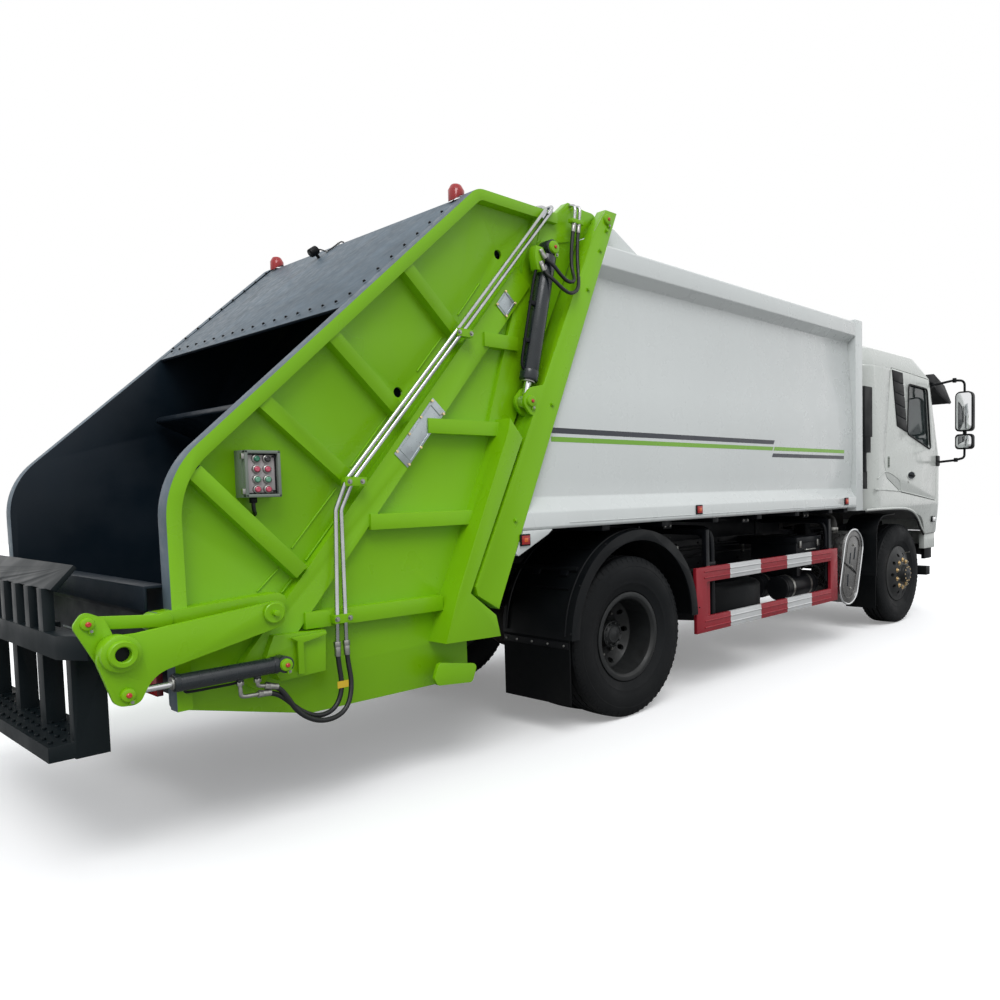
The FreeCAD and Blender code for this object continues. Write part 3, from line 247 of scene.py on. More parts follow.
def blend_colours(nodes, links, factor, first, second):
    mix = nodes.new("ShaderNodeMix")
    mix.data_type = "RGBA"
    for socket, colour in ((mix.inputs[6], first), (mix.inputs[7], second)):
        if isinstance(colour, bpy.types.NodeSocket):
            links.new(colour, socket)
        else:
            socket.default_value = (*colour, 1)
    if isinstance(factor, bpy.types.NodeSocket):
        links.new(factor, mix.inputs[0])
    else:
        mix.inputs[0].default_value = factor
    return mix.outputs[2]


def finish(name, colour, rough, metal=0.0, coat=0.0, clouds=0.08, cloud_size=1.5, dust=0.0,
        dust_top=1.3, dust_colour=(0.2, 0.18, 0.155), streaks=0.0, grain=0.0, grain_size=350.0,
        see_through=0.0, shine=0.5):
    """One procedural finish: clouds of tone, dust low down, rain streaks and a fine grain."""
    material = bpy.data.materials.new(name)
    material.use_nodes = True
    nodes, links = material.node_tree.nodes, material.node_tree.links
    shader = nodes["Principled BSDF"]
    shader.inputs["Metallic"].default_value = metal
    shader.inputs["Specular IOR Level"].default_value = shine
    shader.inputs["Coat Weight"].default_value = coat
    shader.inputs["Coat Roughness"].default_value = 0.06
    shader.inputs["Transmission Weight"].default_value = see_through
    place = nodes.new("ShaderNodeTexCoord").outputs["Object"]
    cloud = noise(nodes, links, place, cloud_size, 2.5)
    light = tuple(min(1.0, c * (1 + clouds)) for c in colour)
    dark = tuple(c * (1 - clouds) for c in colour)
    tone = blend_colours(nodes, links, remap(nodes, links, cloud, 0.25, 0.75, 0, 1), dark, light)
    if streaks:
        rain = noise(nodes, links, place, 9.0, 5.0, stretch=(1, 1, 0.06))
        amount = remap(nodes, links, rain, 0.42, 0.85, 0, streaks)
        tone = blend_colours(nodes, links, amount, tone, tuple(c * 0.55 for c in dust_colour))
    if dust:
        height = nodes.new("ShaderNodeSeparateXYZ")
        links.new(place, height.inputs[0])
        low = remap(nodes, links, height.outputs["Z"], 0.1, dust_top, 1.0, 0.0)
        speck = remap(nodes, links, noise(nodes, links, place, 5.0, 3.0), 0.25, 0.8, 0.35, 1.0)
        product = nodes.new("ShaderNodeMath")
        product.operation = "MULTIPLY"
        links.new(low, product.inputs[0])
        links.new(speck, product.inputs[1])
        amount = remap(nodes, links, product.outputs[0], 0, 1, 0, dust)
        tone = blend_colours(nodes, links, amount, tone, dust_colour)
    links.new(tone, shader.inputs["Base Color"])
    worn = noise(nodes, links, place, cloud_size * 4, 3.0)
    spread = 0.05 + rough * 0.12
    links.new(remap(nodes, links, worn, 0.3, 0.7, max(0.02, rough - spread), min(1.0, rough + spread)),
        shader.inputs["Roughness"])
    if grain:
        bump = nodes.new("ShaderNodeBump")
        bump.inputs["Strength"].default_value = grain
        bump.inputs["Distance"].default_value = 0.001
        links.new(noise(nodes, links, place, grain_size, 3.0), bump.inputs["Height"])
        links.new(bump.outputs["Normal"], shader.inputs["Normal"])
    finishes[name] = material
    return material


# %% The truck's own finishes
GREY_DUST, BROWN_DUST = (0.08, 0.08, 0.08), (0.09, 0.08, 0.07)
lime = finish("lime_paint", (0.195, 0.462, 0.002), 0.34, shine=0.32, coat=0.05, clouds=0.05, dust=0.1,
    dust_top=0.9, dust_colour=(0.12, 0.15, 0.06), streaks=0.03, grain=0.05, grain_size=160)
body_white = finish("body_white_paint", (0.62, 0.65, 0.64), 0.3, coat=0.3, clouds=0.02, dust=0.07,
    dust_top=1.6, streaks=0.02, grain=0.04, grain_size=160)
cab_white = finish("cab_white_paint", (0.54, 0.565, 0.535), 0.28, coat=0.4, clouds=0.02, dust=0.07,
    dust_top=1.5, streaks=0.008, grain=0.03, grain_size=160)
hopper_dark = finish("hopper_dark_paint", (0.005, 0.011, 0.018), 0.4, shine=0.22, clouds=0.25,
    dust=0.08, dust_colour=GREY_DUST, dust_top=1.2, streaks=0.05, grain=0.15, grain_size=90)
canopy_grey = finish("canopy_grey_paint", (0.098, 0.132, 0.162), 0.5, shine=0.25, clouds=0.22,
    cloud_size=6.0, streaks=0.12, grain=0.1, grain_size=120)
chassis_black = finish("chassis_black_paint", (0.004, 0.005, 0.007), 0.45, shine=0.22, clouds=0.25,
    dust=0.12, dust_colour=BROWN_DUST, dust_top=1.0, grain=0.12, grain_size=140)
lifter_black = finish("lifter_black_paint", (0.003, 0.007, 0.009), 0.42, shine=0.2, clouds=0.2,
    dust=0.06, dust_top=0.9, dust_colour=GREY_DUST, grain=0.15, grain_size=120)
moulded_black = finish("moulded_black_plastic", (0.003, 0.004, 0.005), 0.48, shine=0.18, clouds=0.2,
    dust=0.08, dust_colour=GREY_DUST, dust_top=1.0, grain=0.1, grain_size=500)
mudflap_rubber = finish("mudflap_rubber", (0.002, 0.003, 0.004), 0.62, shine=0.12, clouds=0.2,
    dust=0.03, dust_top=0.8, grain=0.25, grain_size=240)
tyre_rubber = finish("tyre_rubber", (0.004, 0.005, 0.006), 0.6, shine=0.16, clouds=0.25, dust=0.1,
    dust_top=1.4, dust_colour=(0.05, 0.048, 0.045), grain=0.3, grain_size=420)
rim_grey = finish("rim_dark_paint", (0.01, 0.012, 0.013), 0.42, shine=0.35, clouds=0.25, cloud_size=6,
    dust=0.15, dust_top=1.3, dust_colour=BROWN_DUST, grain=0.1)
cast_iron = finish("cast_iron", (0.03, 0.029, 0.028), 0.62, clouds=0.35, cloud_size=5, dust=0.5,
    dust_top=1.2, dust_colour=(0.13, 0.1, 0.075), grain=0.4, grain_size=200)
cylinder_black = finish("cylinder_dark_paint", (0.01, 0.015, 0.019), 0.3, coat=0.1, clouds=0.2,
    cloud_size=8, dust=0.05, dust_top=1.2, grain=0.08)
chrome = finish("rod_chrome", (0.72, 0.73, 0.74), 0.1, metal=1.0, clouds=0.06, cloud_size=20,
    grain=0.03, grain_size=600)
steel = finish("pipe_steel", (0.5, 0.51, 0.52), 0.24, metal=1.0, clouds=0.12, cloud_size=14, grain=0.08,
    grain_size=500)
zinc = finish("zinc_bolts", (0.36, 0.36, 0.34), 0.38, metal=1.0, clouds=0.2, cloud_size=40, grain=0.1)
brushed = finish("brushed_aluminium", (0.44, 0.49, 0.51), 0.34, metal=0.75, clouds=0.12, cloud_size=18,
    streaks=0.1, grain=0.12, grain_size=380)
drum_silver = finish("heat_shield_silver", (0.17, 0.17, 0.17), 0.3, metal=0.9, clouds=0.2, cloud_size=9,
    dust=0.35, dust_top=1.3, grain=0.1)
golden = finish("golden_nuts", (0.8, 0.62, 0.36), 0.34, metal=0.8, clouds=0.2, cloud_size=30, grain=0.1)
hose_rubber = finish("hose_rubber", (0.004, 0.005, 0.006), 0.45, clouds=0.2, cloud_size=12, grain=0.2,
    grain_size=700)
guard_red = finish("guard_red_tape", (0.27, 0.008, 0.018), 0.42, clouds=0.06, cloud_size=7, dust=0.02,
    dust_top=1.4, grain=0.04, grain_size=700)
guard_white = finish("guard_white_tape", (0.56, 0.57, 0.57), 0.42, clouds=0.08, cloud_size=7, dust=0.05,
    dust_top=1.4, grain=0.04, grain_size=700)
red_lens = finish("red_lens", (0.34, 0.008, 0.01), 0.2, coat=0.2, clouds=0.12, cloud_size=30,
    grain=0.25, grain_size=260)
amber_lens = finish("amber_lens", (0.62, 0.1, 0.006), 0.14, coat=0.5, clouds=0.1, cloud_size=30,
    grain=0.25, grain_size=260)
clear_lens = finish("clear_lens", (0.75, 0.77, 0.78), 0.08, clouds=0.05, cloud_size=30, see_through=0.7)
window_glass = finish("window_glass", (0.1, 0.13, 0.13), 0.03, clouds=0.05, cloud_size=3,
    see_through=0.85)
seat_cloth = finish("seat_cloth", (0.035, 0.037, 0.042), 0.85, clouds=0.2, cloud_size=12, grain=0.6,
    grain_size=900)
cab_lining = finish("cab_lining", (0.085, 0.085, 0.085), 0.6, clouds=0.12, cloud_size=5, grain=0.3,
    grain_size=600)
mirror_face = finish("mirror_face", (0.8, 0.81, 0.82), 0.05, metal=1.0, clouds=0.02, cloud_size=4)
print(len(finishes), "finishes")

# %% [markdown]
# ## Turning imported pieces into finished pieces
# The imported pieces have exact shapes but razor-sharp edges and loose triangles. No real sheet or
# casting has such an edge: it always catches a thin line of light. Each piece is copied, its
# triangles are joined, flat faces are merged again, and a small bevel rounds every sharp edge.
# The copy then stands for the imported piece, which stays behind for the physics.

# %% Helper that rounds edges
SHARP, FLAT = 32, math.radians(0.5)
SAME_PLACE = 0.00005


def smooth(angle):
    """Shade the active piece smooth, but for the edges that turn more than the angle."""
    bpy.ops.object.shade_smooth_by_angle(angle=math.radians(angle))


@contextmanager
def editing():
    """Edit Mode with everything selected, and Object Mode again at the end."""
    bpy.ops.object.mode_set(mode="EDIT")
    bpy.ops.mesh.select_all(action="SELECT")
    yield
    bpy.ops.object.mode_set(mode="OBJECT")


def copied(source, name):
    """A copy of an object, with its own mesh."""
    copy = bpy.data.objects.new(name, source.data.copy())
    scene.collection.objects.link(copy)
    return copy


def painted(piece, material):
    """One finish on the whole piece."""
    piece.data.materials.clear()
    piece.data.materials.append(material)
    for face in piece.data.polygons:
        face.material_index = 0
    return piece


def modified(piece, kind, **settings):
    """Add one modifier with its settings, and apply it."""
    only(piece)
    bpy.ops.object.modifier_add(type=kind)
    modifier = piece.modifiers[-1]
    for name, value in settings.items():
        setattr(modifier, name, value)
    bpy.ops.object.modifier_apply(modifier=modifier.name)


def rounded(piece, width, segments=2, angle=SHARP):
    modified(piece, "BEVEL", width=width, segments=segments, limit_method="ANGLE",
        angle_limit=math.radians(angle), use_clamp_overlap=True)
    smooth(angle)
    return piece


def dressed(node, material, edge, angle=SHARP):
    """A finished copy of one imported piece, on the same body."""
    source = frame["nodes"][node]
    body = source["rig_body"]
    piece = only(copied(source, node + "_finished"))
    with editing():
        bpy.ops.mesh.remove_doubles(threshold=SAME_PLACE)
        bpy.ops.mesh.dissolve_limited(angle_limit=FLAT)
    painted(piece, material)
    if edge:
        rounded(piece, edge, 2, angle)
    else:
        smooth(angle)
    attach(piece, body)
    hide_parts(node)
    return piece


def recolour(piece, material, test):
    """Give the faces that pass a test of their place and direction another finish."""
    piece.data.materials.append(material)
    index = len(piece.data.materials) - 1
    count = 0
    for face in piece.data.polygons:
        if test(face.center, face.normal):
            face.material_index = index
            count += 1
    return count


# %% [markdown]
# ## A small workshop
# Most parts of a truck start as a block, a round bar, a cut sheet, a bent tube or something turned
# on a lathe. Each helper starts from Blender's own primitive, puts it in place, and rounds its edges.
# A sheet is a ring of points filled with one face, whose corners are moved to the outline and then
# extruded. A turned part is a closed ring of points that the spin tool sweeps round an axis.

# %% Blocks, bars, sheets, turned parts and tubes
SEAM_GAP = 0.00002


def block(name, low, high, material, edge):
    low, high = Vector(low), Vector(high)
    nothing_selected()
    bpy.ops.mesh.primitive_cube_add(size=1, location=(low + high) / 2, scale=high - low)
    piece = painted(placed(bpy.context.object, name), material)
    return rounded(piece, edge) if edge else piece


def bar(name, start, end, radius, material, sides, edge=0.0):
    start, end = Vector(start), Vector(end)
    run = end - start
    nothing_selected()
    bpy.ops.mesh.primitive_cylinder_add(vertices=sides, radius=radius, depth=run.length,
        location=(start + end) / 2, rotation=run.to_track_quat("Z", "Y").to_euler())
    piece = painted(placed(bpy.context.object, name), material)
    if edge:
        return rounded(piece, edge, 2, 40)
    smooth(40)
    return piece


def sheet_of(name, outline, plane, low, high, material, edge):
    """A sheet cut to an outline in one plane and as thick as low to high."""
    nothing_selected()
    bpy.ops.mesh.primitive_circle_add(vertices=len(outline), fill_type="NGON")
    piece = placed(bpy.context.object, name)
    for vertex, (a, b) in zip(piece.data.vertices, outline):
        vertex.co = {"XZ": (a, low, b), "YZ": (low, a, b)}[plane]
    push = {"XZ": (0, high - low, 0), "YZ": (high - low, 0, 0)}[plane]
    with editing():
        bpy.ops.mesh.extrude_region_move(TRANSFORM_OT_translate={"value": push})
        bpy.ops.mesh.select_all(action="SELECT")
        bpy.ops.mesh.normals_make_consistent(inside=False)
    return rounded(painted(piece, material), edge)


def side_sheet(name, outline, low, high, material, edge=0.002):
    """A sheet seen from the side, whose outline is in stations and heights."""
    return sheet_of(name, [(x + REAR_AXLE, z) for x, z in outline], "XZ", low, high, material, edge)


def turned(name, profile, centre, axis, material, steps, angle=35):
    """A closed profile of (along, radius) points swept round an axis through centre."""
    nothing_selected()
    bpy.ops.mesh.primitive_circle_add(vertices=len(profile), fill_type="NOTHING")
    piece = placed(bpy.context.object, name)
    centre = Vector(centre)
    along = Vector({"X": (1, 0, 0), "Y": (0, 1, 0)}[axis])
    out = Vector((0, 0, 1))
    for vertex, (a, r) in zip(piece.data.vertices, profile):
        vertex.co = centre + along * a + out * r
    with editing():
        bpy.ops.mesh.spin(steps=steps, angle=2 * math.pi, center=centre, axis=along)
        bpy.ops.mesh.select_all(action="SELECT")
        bpy.ops.mesh.remove_doubles(threshold=SEAM_GAP)
        bpy.ops.mesh.normals_make_consistent(inside=False)
    smooth(angle)
    return painted(piece, material)


def tube(name, points, radius, material, sides):
    """A round tube or hose whose line runs smoothly past the points."""
    nothing_selected()
    bpy.ops.curve.primitive_nurbs_path_add()
    piece = bpy.context.object
    spline = piece.data.splines[0]
    while len(spline.points) < len(points):
        spline.points.add(1)
    if len(spline.points) > len(points):
        bpy.data.objects.remove(piece)
        line = bpy.data.curves.new(name, "CURVE")
        piece = bpy.data.objects.new(name, line)
        scene.collection.objects.link(piece)
        spline = line.splines.new("NURBS")
        spline.points.add(len(points) - 1)
    for control, place in zip(spline.points, points):
        control.co = (*place, 1)
    piece.location = (0, 0, 0)
    spline.order_u = 3
    spline.use_endpoint_u = True
    piece.data.dimensions = "3D"
    piece.data.bevel_depth = radius
    piece.data.bevel_resolution = max(0, sides // 4 - 1)
    piece.data.use_fill_caps = True
    spline.resolution_u = 8
    only(piece)
    bpy.ops.object.convert(target="MESH")
    piece = painted(placed(bpy.context.object, name), material)
    smooth(50)
    return piece


# %% Joining, copying and mirroring
def joined(name, pieces):
    """Join pieces into one object. Their finishes stay."""
    only(pieces[0])
    for piece in pieces:
        piece.select_set(True)
    bpy.context.view_layer.objects.active = pieces[0]
    bpy.ops.object.join()
    piece = bpy.context.object
    piece.name = name
    piece.data.name = name
    return piece


def moved_copy(piece, name, matrix):
    """A copy with its own mesh, moved, turned or mirrored by a matrix."""
    copy = copied(piece, name)
    copy.data.transform(matrix)
    if matrix.determinant() < 0:
        copy.data.flip_normals()
    return copy


MIRROR = Matrix.Scale(-1, 4, (0, 1, 0))


def on_body(piece, body):
    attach(piece, body)
    return piece


def both_sides(piece, bodies):
    """Ride the right-hand piece and its mirror image on one body, or on the first and second of two."""
    right_body, left_body = (bodies, bodies) if isinstance(bodies, str) else bodies
    twin = moved_copy(piece, piece.name.replace("_right", "_left") if "_right" in piece.name
        else piece.name + "_left", MIRROR)
    on_body(piece, right_body)
    on_body(twin, left_body)
    return twin


def twins(name, pieces, bodies):
    """Join right-hand pieces, and ride them and their mirror image."""
    both_sides(joined(name + "_right", pieces), bodies)


def single(name, pieces, body):
    on_body(joined(name, pieces), body)


# %% [markdown]
# ## Bolts
# Bolt heads and nuts are everywhere on the truck, in rows and rings. One hexagon head with a washer
# is modelled from a six-sided cylinder, and each row or ring is a set of copies in one object.

# %% Bolt heads
def bolts(name, places, direction, size, material, washer=True, sides=6):
    """Hexagon heads, or round ones, at the places, standing out along a direction."""
    direction = Vector(direction).normalized()
    nothing_selected()
    bpy.ops.mesh.primitive_cylinder_add(vertices=sides, radius=size / 2, depth=size * 0.55,
        location=(0, 0, size * 0.27))
    head = placed(bpy.context.object, name)
    rounded(head, size * 0.06, 1, 40)
    if washer:
        bpy.ops.mesh.primitive_cylinder_add(vertices=12, radius=size * 0.72, depth=size * 0.14,
            location=(0, 0, size * 0.04))
        ring = placed(bpy.context.object, name + "_washer")
        head = joined(name, [head, ring])
    painted(head, material)
    spin_to = direction.to_track_quat("Z", "Y").to_matrix().to_4x4()
    copies = [moved_copy(head, name, Matrix.Translation(Vector(place)) @ spin_to) for place in places]
    bpy.data.objects.remove(head)
    return joined(name, copies)

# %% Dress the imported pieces
dress = {
    "chassis_frame": (chassis_black, 0.003), "axles": (cast_iron, 0.004),
    "leaf_springs": (chassis_black, 0.002), "engine_block": (cast_iron, 0.012),
    "knuckle_right": (cast_iron, 0.004), "knuckle_left": (cast_iron, 0.004),
    "tie_rod": (chassis_black, 0.002),
    "container_floor": (chassis_black, 0.003), "container_roof": (body_white, 0.006),
    "container_bulkhead": (body_white, 0.006), "container_rear_frame": (lime, 0.005),
    "mudguards": (moulded_black, 0.004), "fuel_tank": (chassis_black, 0.004),
    "exhaust_drum": (drum_silver, 0.006), "side_boxes": (chassis_black, 0.006),
    "front_bumper": (moulded_black, 0.008), "air_intake": (moulded_black, 0.008),
    "cab_front": (cab_white, 0.005), "cab_rear_wall": (cab_white, 0.005), "cab_roof": (cab_white, 0.005),
    "cab_sides": (cab_white, 0.005), "door_right": (cab_white, 0.004), "door_left": (cab_white, 0.004),
    "cab_floor": (cab_lining, 0.004), "dashboard": (cab_lining, 0.012),
    "steering_wheel": (moulded_black, 0),
    "sun_visor": (moulded_black, 0.003),
    "mirrors": (moulded_black, 0.01), "cab_glass": (window_glass, 0),
    "door_glass_right": (window_glass, 0),
    "door_glass_left": (window_glass, 0), "hopper_trough": (hopper_dark, 0.003),
    "tailgate_canopy": (canopy_grey, 0.003), "tailgate_fittings": (lime, 0.003),
    "packer_carriage": (hopper_dark, 0.006), "sweep_blade": (hopper_dark, 0.005),
    "lift_barrels": (cylinder_black, 0.004), "lift_rods": (chrome, 0.002), "lifter_arms": (lime, 0.004),
    "lifter_frame": (lifter_black, 0.004), "lifter_links": (lime, 0.002),
    "lifter_barrels": (cylinder_black, 0.003), "lifter_rods": (chrome, 0.0015),
    "warning_lamps": (red_lens, 0.004), "spare_wheel": (tyre_rubber, 0.004),
    "container_side_right": (body_white, 0.006), "container_side_left": (body_white, 0.006),
    "tailgate_side_right": (lime, 0.004), "tailgate_side_left": (lime, 0.004),
    "side_guards": (guard_red, 0.003), "headlamps": (clear_lens, 0.008),
}
done = {node: dressed(node, material, edge) for node, (material, edge) in dress.items()}
for side, name in ((RIGHT, "right"), (LEFT, "left")):
    plate_faces = recolour(done["tailgate_side_" + name], hopper_dark, lambda c, n,
        s=side: n.y * s < -0.9 and abs(c.y) < 1.12)
    print("inner faces of the tailgate's", name, "side:", plate_faces)

# %% [markdown]
# ## Tyres
# A truck tyre is turned from one outline: bead, bulging wall with moulded rings, shoulder and tread.
# The outline is swept round the axle in 96 steps. Then the edges of the three tread grooves are
# pushed left and right in turn, which makes their zigzag, and a ring of small lugs along each
# shoulder gives the toothed edge that shows against the light. One tyre is made and copied.

# %% One tyre
TYRE_WALL = [(0.092, 0.262), (0.095, 0.292), (0.103, 0.299), (0.106, 0.307), (0.112, 0.32),
    (0.123, 0.346), (0.127, 0.352), (0.127, 0.356), (0.134, 0.377), (0.1385, 0.402), (0.139, 0.427),
    (0.1378, 0.447), (0.1352, 0.458), (0.1362, 0.461), (0.132, 0.476), (0.128, 0.49), (0.123, 0.501),
    (0.115, 0.514), (0.101, 0.5235)]
TREAD = [(0.061, 0.5255), (0.059, 0.512), (0.049, 0.512), (0.047, 0.5262), (0.007, 0.527),
    (0.005, 0.512)]
STEPS = 96
LUGS = 64
ZIGZAG = 0.0045
GROOVE_INSIDE, GROOVE_SIDE = 0.505, 0.07


def make_tyre(name):
    outline = TYRE_WALL + TREAD
    outline = outline + [(-a, r) for a, r in reversed(outline)]
    tyre = turned(name, outline, (0, 0, 0), "Y", tyre_rubber, STEPS, 28)
    for vertex in tyre.data.vertices:
        x, y, z = vertex.co
        if math.hypot(x, z) > GROOVE_INSIDE and abs(y) < GROOVE_SIDE:
            step = round(math.atan2(x, z) / (2 * math.pi) * STEPS)
            vertex.co.y += ZIGZAG if step % 2 else -ZIGZAG
    lug = block("lug", (-0.0085, 0.108, 0.49), (0.0085, 0.1305, 0.5175), tyre_rubber, 0)
    for vertex in lug.data.vertices:
        if vertex.co.z > 0.5:
            vertex.co.y -= 0.014 if vertex.co.y > 0.12 else 0.004
    lugs = []
    for step in range(LUGS):
        for side in (1, -1):
            matrix = Matrix.Rotation(2 * math.pi * (step + 0.25 * side) / LUGS, 4,
                "Y") @ Matrix.Scale(side, 4, (0, 1, 0))
            lugs.append(moved_copy(lug, "lug", matrix))
    bpy.data.objects.remove(lug)
    return joined(name, [tyre] + lugs)


model_tyre = make_tyre("tyre_model")
AXLE_HEIGHT, WHEELBASE = 0.527, 4.5
FRONT_TRACK, REAR_OUTER, REAR_INNER = 0.969, 1.061, 0.741
tyres = {}
for side, hand in ((RIGHT, "right"), (LEFT, "left")):
    tyres["front_tyre_" + hand] = [(WHEELBASE, side * FRONT_TRACK)]
    tyres["rear_tyres_" + hand] = [(0, side * REAR_OUTER), (0, side * REAR_INNER)]
for node, middles in tyres.items():
    made = [moved_copy(model_tyre, node + "_rubber", Matrix.Translation(at(x, y, AXLE_HEIGHT))) for x,
        y in middles]
    rubber = joined(node + "_rubber", made) if len(made) > 1 else made[0]
    on_body(rubber, frame["nodes"][node]["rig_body"])
    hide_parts(node)
bpy.data.objects.remove(model_tyre)
print("tyres:", len(tyres) + 2, "on", len(tyres), "wheels")

# %% [markdown]
# ## Rims and hubs
# The rear rims are deep dishes, the front ones stand out. Both are pressed from sheet and carry ten
# hand holes near the edge of the disc. The holes are cut with a ring of bars, using a Boolean.
# The hub is bolted on with ten nuts, and a ring of small bolts holds its cap.

# %% Rims, nuts and hub caps
HOLE_RING, HOLE_RADIUS, NUT_RING, CAP_RING = 0.205, 0.019, 0.146, 0.073


def ring_places(centre, radius, count, phase=0.0):
    centre = Vector(centre)
    return [centre + Vector((math.sin(t) * radius, 0, math.cos(t) * radius))
        for t in (2 * math.pi * (k + phase) / count for k in range(count))]


def bored(piece, cutters):
    """Cut the cutters out of a piece."""
    tool = joined("cutter", cutters)
    modified(piece, "BOOLEAN", operation="DIFFERENCE", object=tool, solver="EXACT")
    bpy.data.objects.remove(tool)
    smooth(35)
    return piece


def wheel_details(node, hub_x, face, cap, nut_finish, disc_low, disc_high):
    """Hand holes, studs and cap of one right-hand rim; faces are measured outwards."""
    rim = dressed(node + "_right", rim_grey, 0.002, 35)
    holes = [bar("hole", place + Vector((0, 0.3, 0)), place - Vector((0, 0.3, 0)), HOLE_RADIUS,
        rim_grey, 12) for place in ring_places(at(hub_x, -(disc_low + disc_high) / 2, AXLE_HEIGHT),
        HOLE_RING, 10, 0.5)]
    bored(rim, holes)
    middle = at(hub_x, -face, AXLE_HEIGHT)
    nuts = bolts("nuts", ring_places(middle, NUT_RING, 10), (0, -1, 0), 0.034, nut_finish)
    studs = [bar("stud", p, p - Vector((0, 0.03, 0)), 0.0085, zinc, 10)
        for p in ring_places(middle, NUT_RING, 10)]
    cap_face = at(hub_x, -cap, AXLE_HEIGHT)
    small = bolts("cap_bolts", ring_places(cap_face + Vector((0, 0.012, 0)), CAP_RING, 10, 0.5),
        (0, -1, 0), 0.016, nut_finish)
    boss = turned("hub_boss", [(0.0, 0.0), (-0.012, 0.0), (-0.012, 0.02), (-0.004, 0.034),
        (-0.004, 0.052), (0.004, 0.056), (0.004, 0.0)], cap_face, "Y", rim_grey, 32)
    drum_edge = turned("cap_rim", [(0.026, 0.08), (0.016, 0.088), (0.01, 0.088), (0.006, 0.082),
        (0.02, 0.07)], cap_face, "Y", rim_grey, 40)
    valve = bar("valve", at(hub_x, -face - 0.02, AXLE_HEIGHT + 0.222),
        at(hub_x, -face - 0.075, AXLE_HEIGHT + 0.232), 0.005, zinc, 8)
    details = joined(node + "_hub_right", [nuts, small, boss, drum_edge, valve] + studs)
    body = frame["nodes"][node + "_right"]["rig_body"]
    on_body(details, body)
    other = body.replace("right", "left")
    twin = moved_copy(details, node + "_hub_left", MIRROR)
    on_body(twin, other)
    rim_twin = moved_copy(rim, node + "_left_finished", MIRROR)
    on_body(rim_twin, other)
    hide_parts(node + "_left")


wheel_details("front_rim", WHEELBASE, 1.127, 1.195, golden, 1.05, 1.11)
wheel_details("rear_rims", 0, 0.914, 1.035, rim_grey, 0.9, 0.95)
print("rims and hubs done")

# %% [markdown]
# ## The tailgate's grey edge, bright pipes and clips
# The outer edge of the tailgate was sprayed grey with the canopy, and its two oil pipes are bare
# steel. Both are packed in one piece with painted sheet, so only their faces get another finish,
# picked by where they are and which way they point.

# %% Edge, pipes and control case
RIM_LINE = [(-2.758, 0.632), (-2.765, 1.42), (-2.62, 1.72), (-1.22, 3.04), (-1.1, 3.103),
    (-0.56, 3.103)]
CLIPS = [((-2.005, -1.885), (1.525, 1.575)), ((-2.085, -1.985), (0.893, 0.943)),
    ((-1.335, -1.225), (2.295, 2.345))]


def outer_edge(place, normal):
    """True on the narrow faces of the rim that look up and to the rear."""
    if not 1.08 < abs(place.y) < 1.174 or abs(normal.y) > 0.6:
        return False
    x, z = place.x - REAR_AXLE, place.z
    for (ax, az), (bx, bz) in zip(RIM_LINE, RIM_LINE[1:]):
        run_x, run_z = bx - ax, bz - az
        share = ((x - ax) * run_x + (z - az) * run_z) / (run_x ** 2 + run_z ** 2)
        off_x, off_z = x - ax - share * run_x, z - az - share * run_z
        if -0.05 < share < 1.05 and math.hypot(off_x, off_z) < 0.06:
            return normal.z - normal.x > 0.5
    return False


def bare_pipe(place, normal):
    x, z = place.x - REAR_AXLE, place.z
    held = any(xs[0] < x < xs[1] and zs[0] < z < zs[1] for xs, zs in CLIPS)
    return 1.172 < abs(place.y) < 1.1975 and z > 0.74 and not held


for hand in ("right", "left"):
    print("grey edge,", hand, recolour(done["tailgate_side_" + hand], canopy_grey, outer_edge))
print("pipes", recolour(done["tailgate_fittings"], steel, bare_pipe))
case_grey = finish("case_grey", (0.17, 0.2, 0.17), 0.4, clouds=0.08, cloud_size=6, dust=0.1, grain=0.1)
recolour(done["tailgate_fittings"], case_grey, lambda c, n: c.y < 0 and -2.47 < c.x - REAR_AXLE < -2.29
    and 1.48 < c.z < 1.7)
recolour(done["warning_lamps"], finish("lamp_housing", (0.09, 0.006, 0.01), 0.3, grain=0.2), lambda c,
    n: c.z < 1 and abs(n.x) < 0.5)
recolour(done["tailgate_canopy"], hopper_dark, lambda c, n: n.z < -0.3 or c.z < 3.04 and n.x > 0.4)
recolour(done["container_rear_frame"], zinc, lambda c, n: abs(c.y) > 1.245 and c.z > 3.09)

# %% [markdown]
# ## Bolts, weld seams and rivets on the tailgate
# Sheet metal tells how it was made: a row of bolts holds the canopy, a thin raised bead shows each
# weld, and the clips are screwed down. The rows are copies of one head at even steps along a line.

# %% Canopy bolts
def along(points, step):
    """Places at even steps along straight runs."""
    spots, spare = [], 0.0
    for start, end in zip(points, points[1:]):
        start, end = Vector(start), Vector(end)
        run = end - start
        distance = spare
        while distance < run.length:
            spots.append(start + run * (distance / run.length))
            distance += step
        spare = distance - run.length
    return spots


SLOPE = Vector((-0.68, 0, 0.733))
CANOPY_BOLT = 0.014
canopy_heads = []
for side in (RIGHT, LEFT):
    y = side * 1.058
    canopy_heads += [bolts("canopy_bolts", along([at(-0.5, y, 3.0985), at(-1.06, y, 3.0985)], 0.112),
        (0, 0, 1), CANOPY_BOLT, moulded_black), bolts("canopy_bolts",
        along([at(-1.22, y, 3.0375), at(-1.9, y, 2.4067)], 0.108), SLOPE, CANOPY_BOLT, moulded_black)]
canopy_heads.append(bolts("canopy_bolts", along([at(-1.888, -0.99, 2.4175), at(-1.888, 1.0, 2.4175)],
    0.124), SLOPE, CANOPY_BOLT, moulded_black))
single("canopy_bolts", canopy_heads, "tailgate")

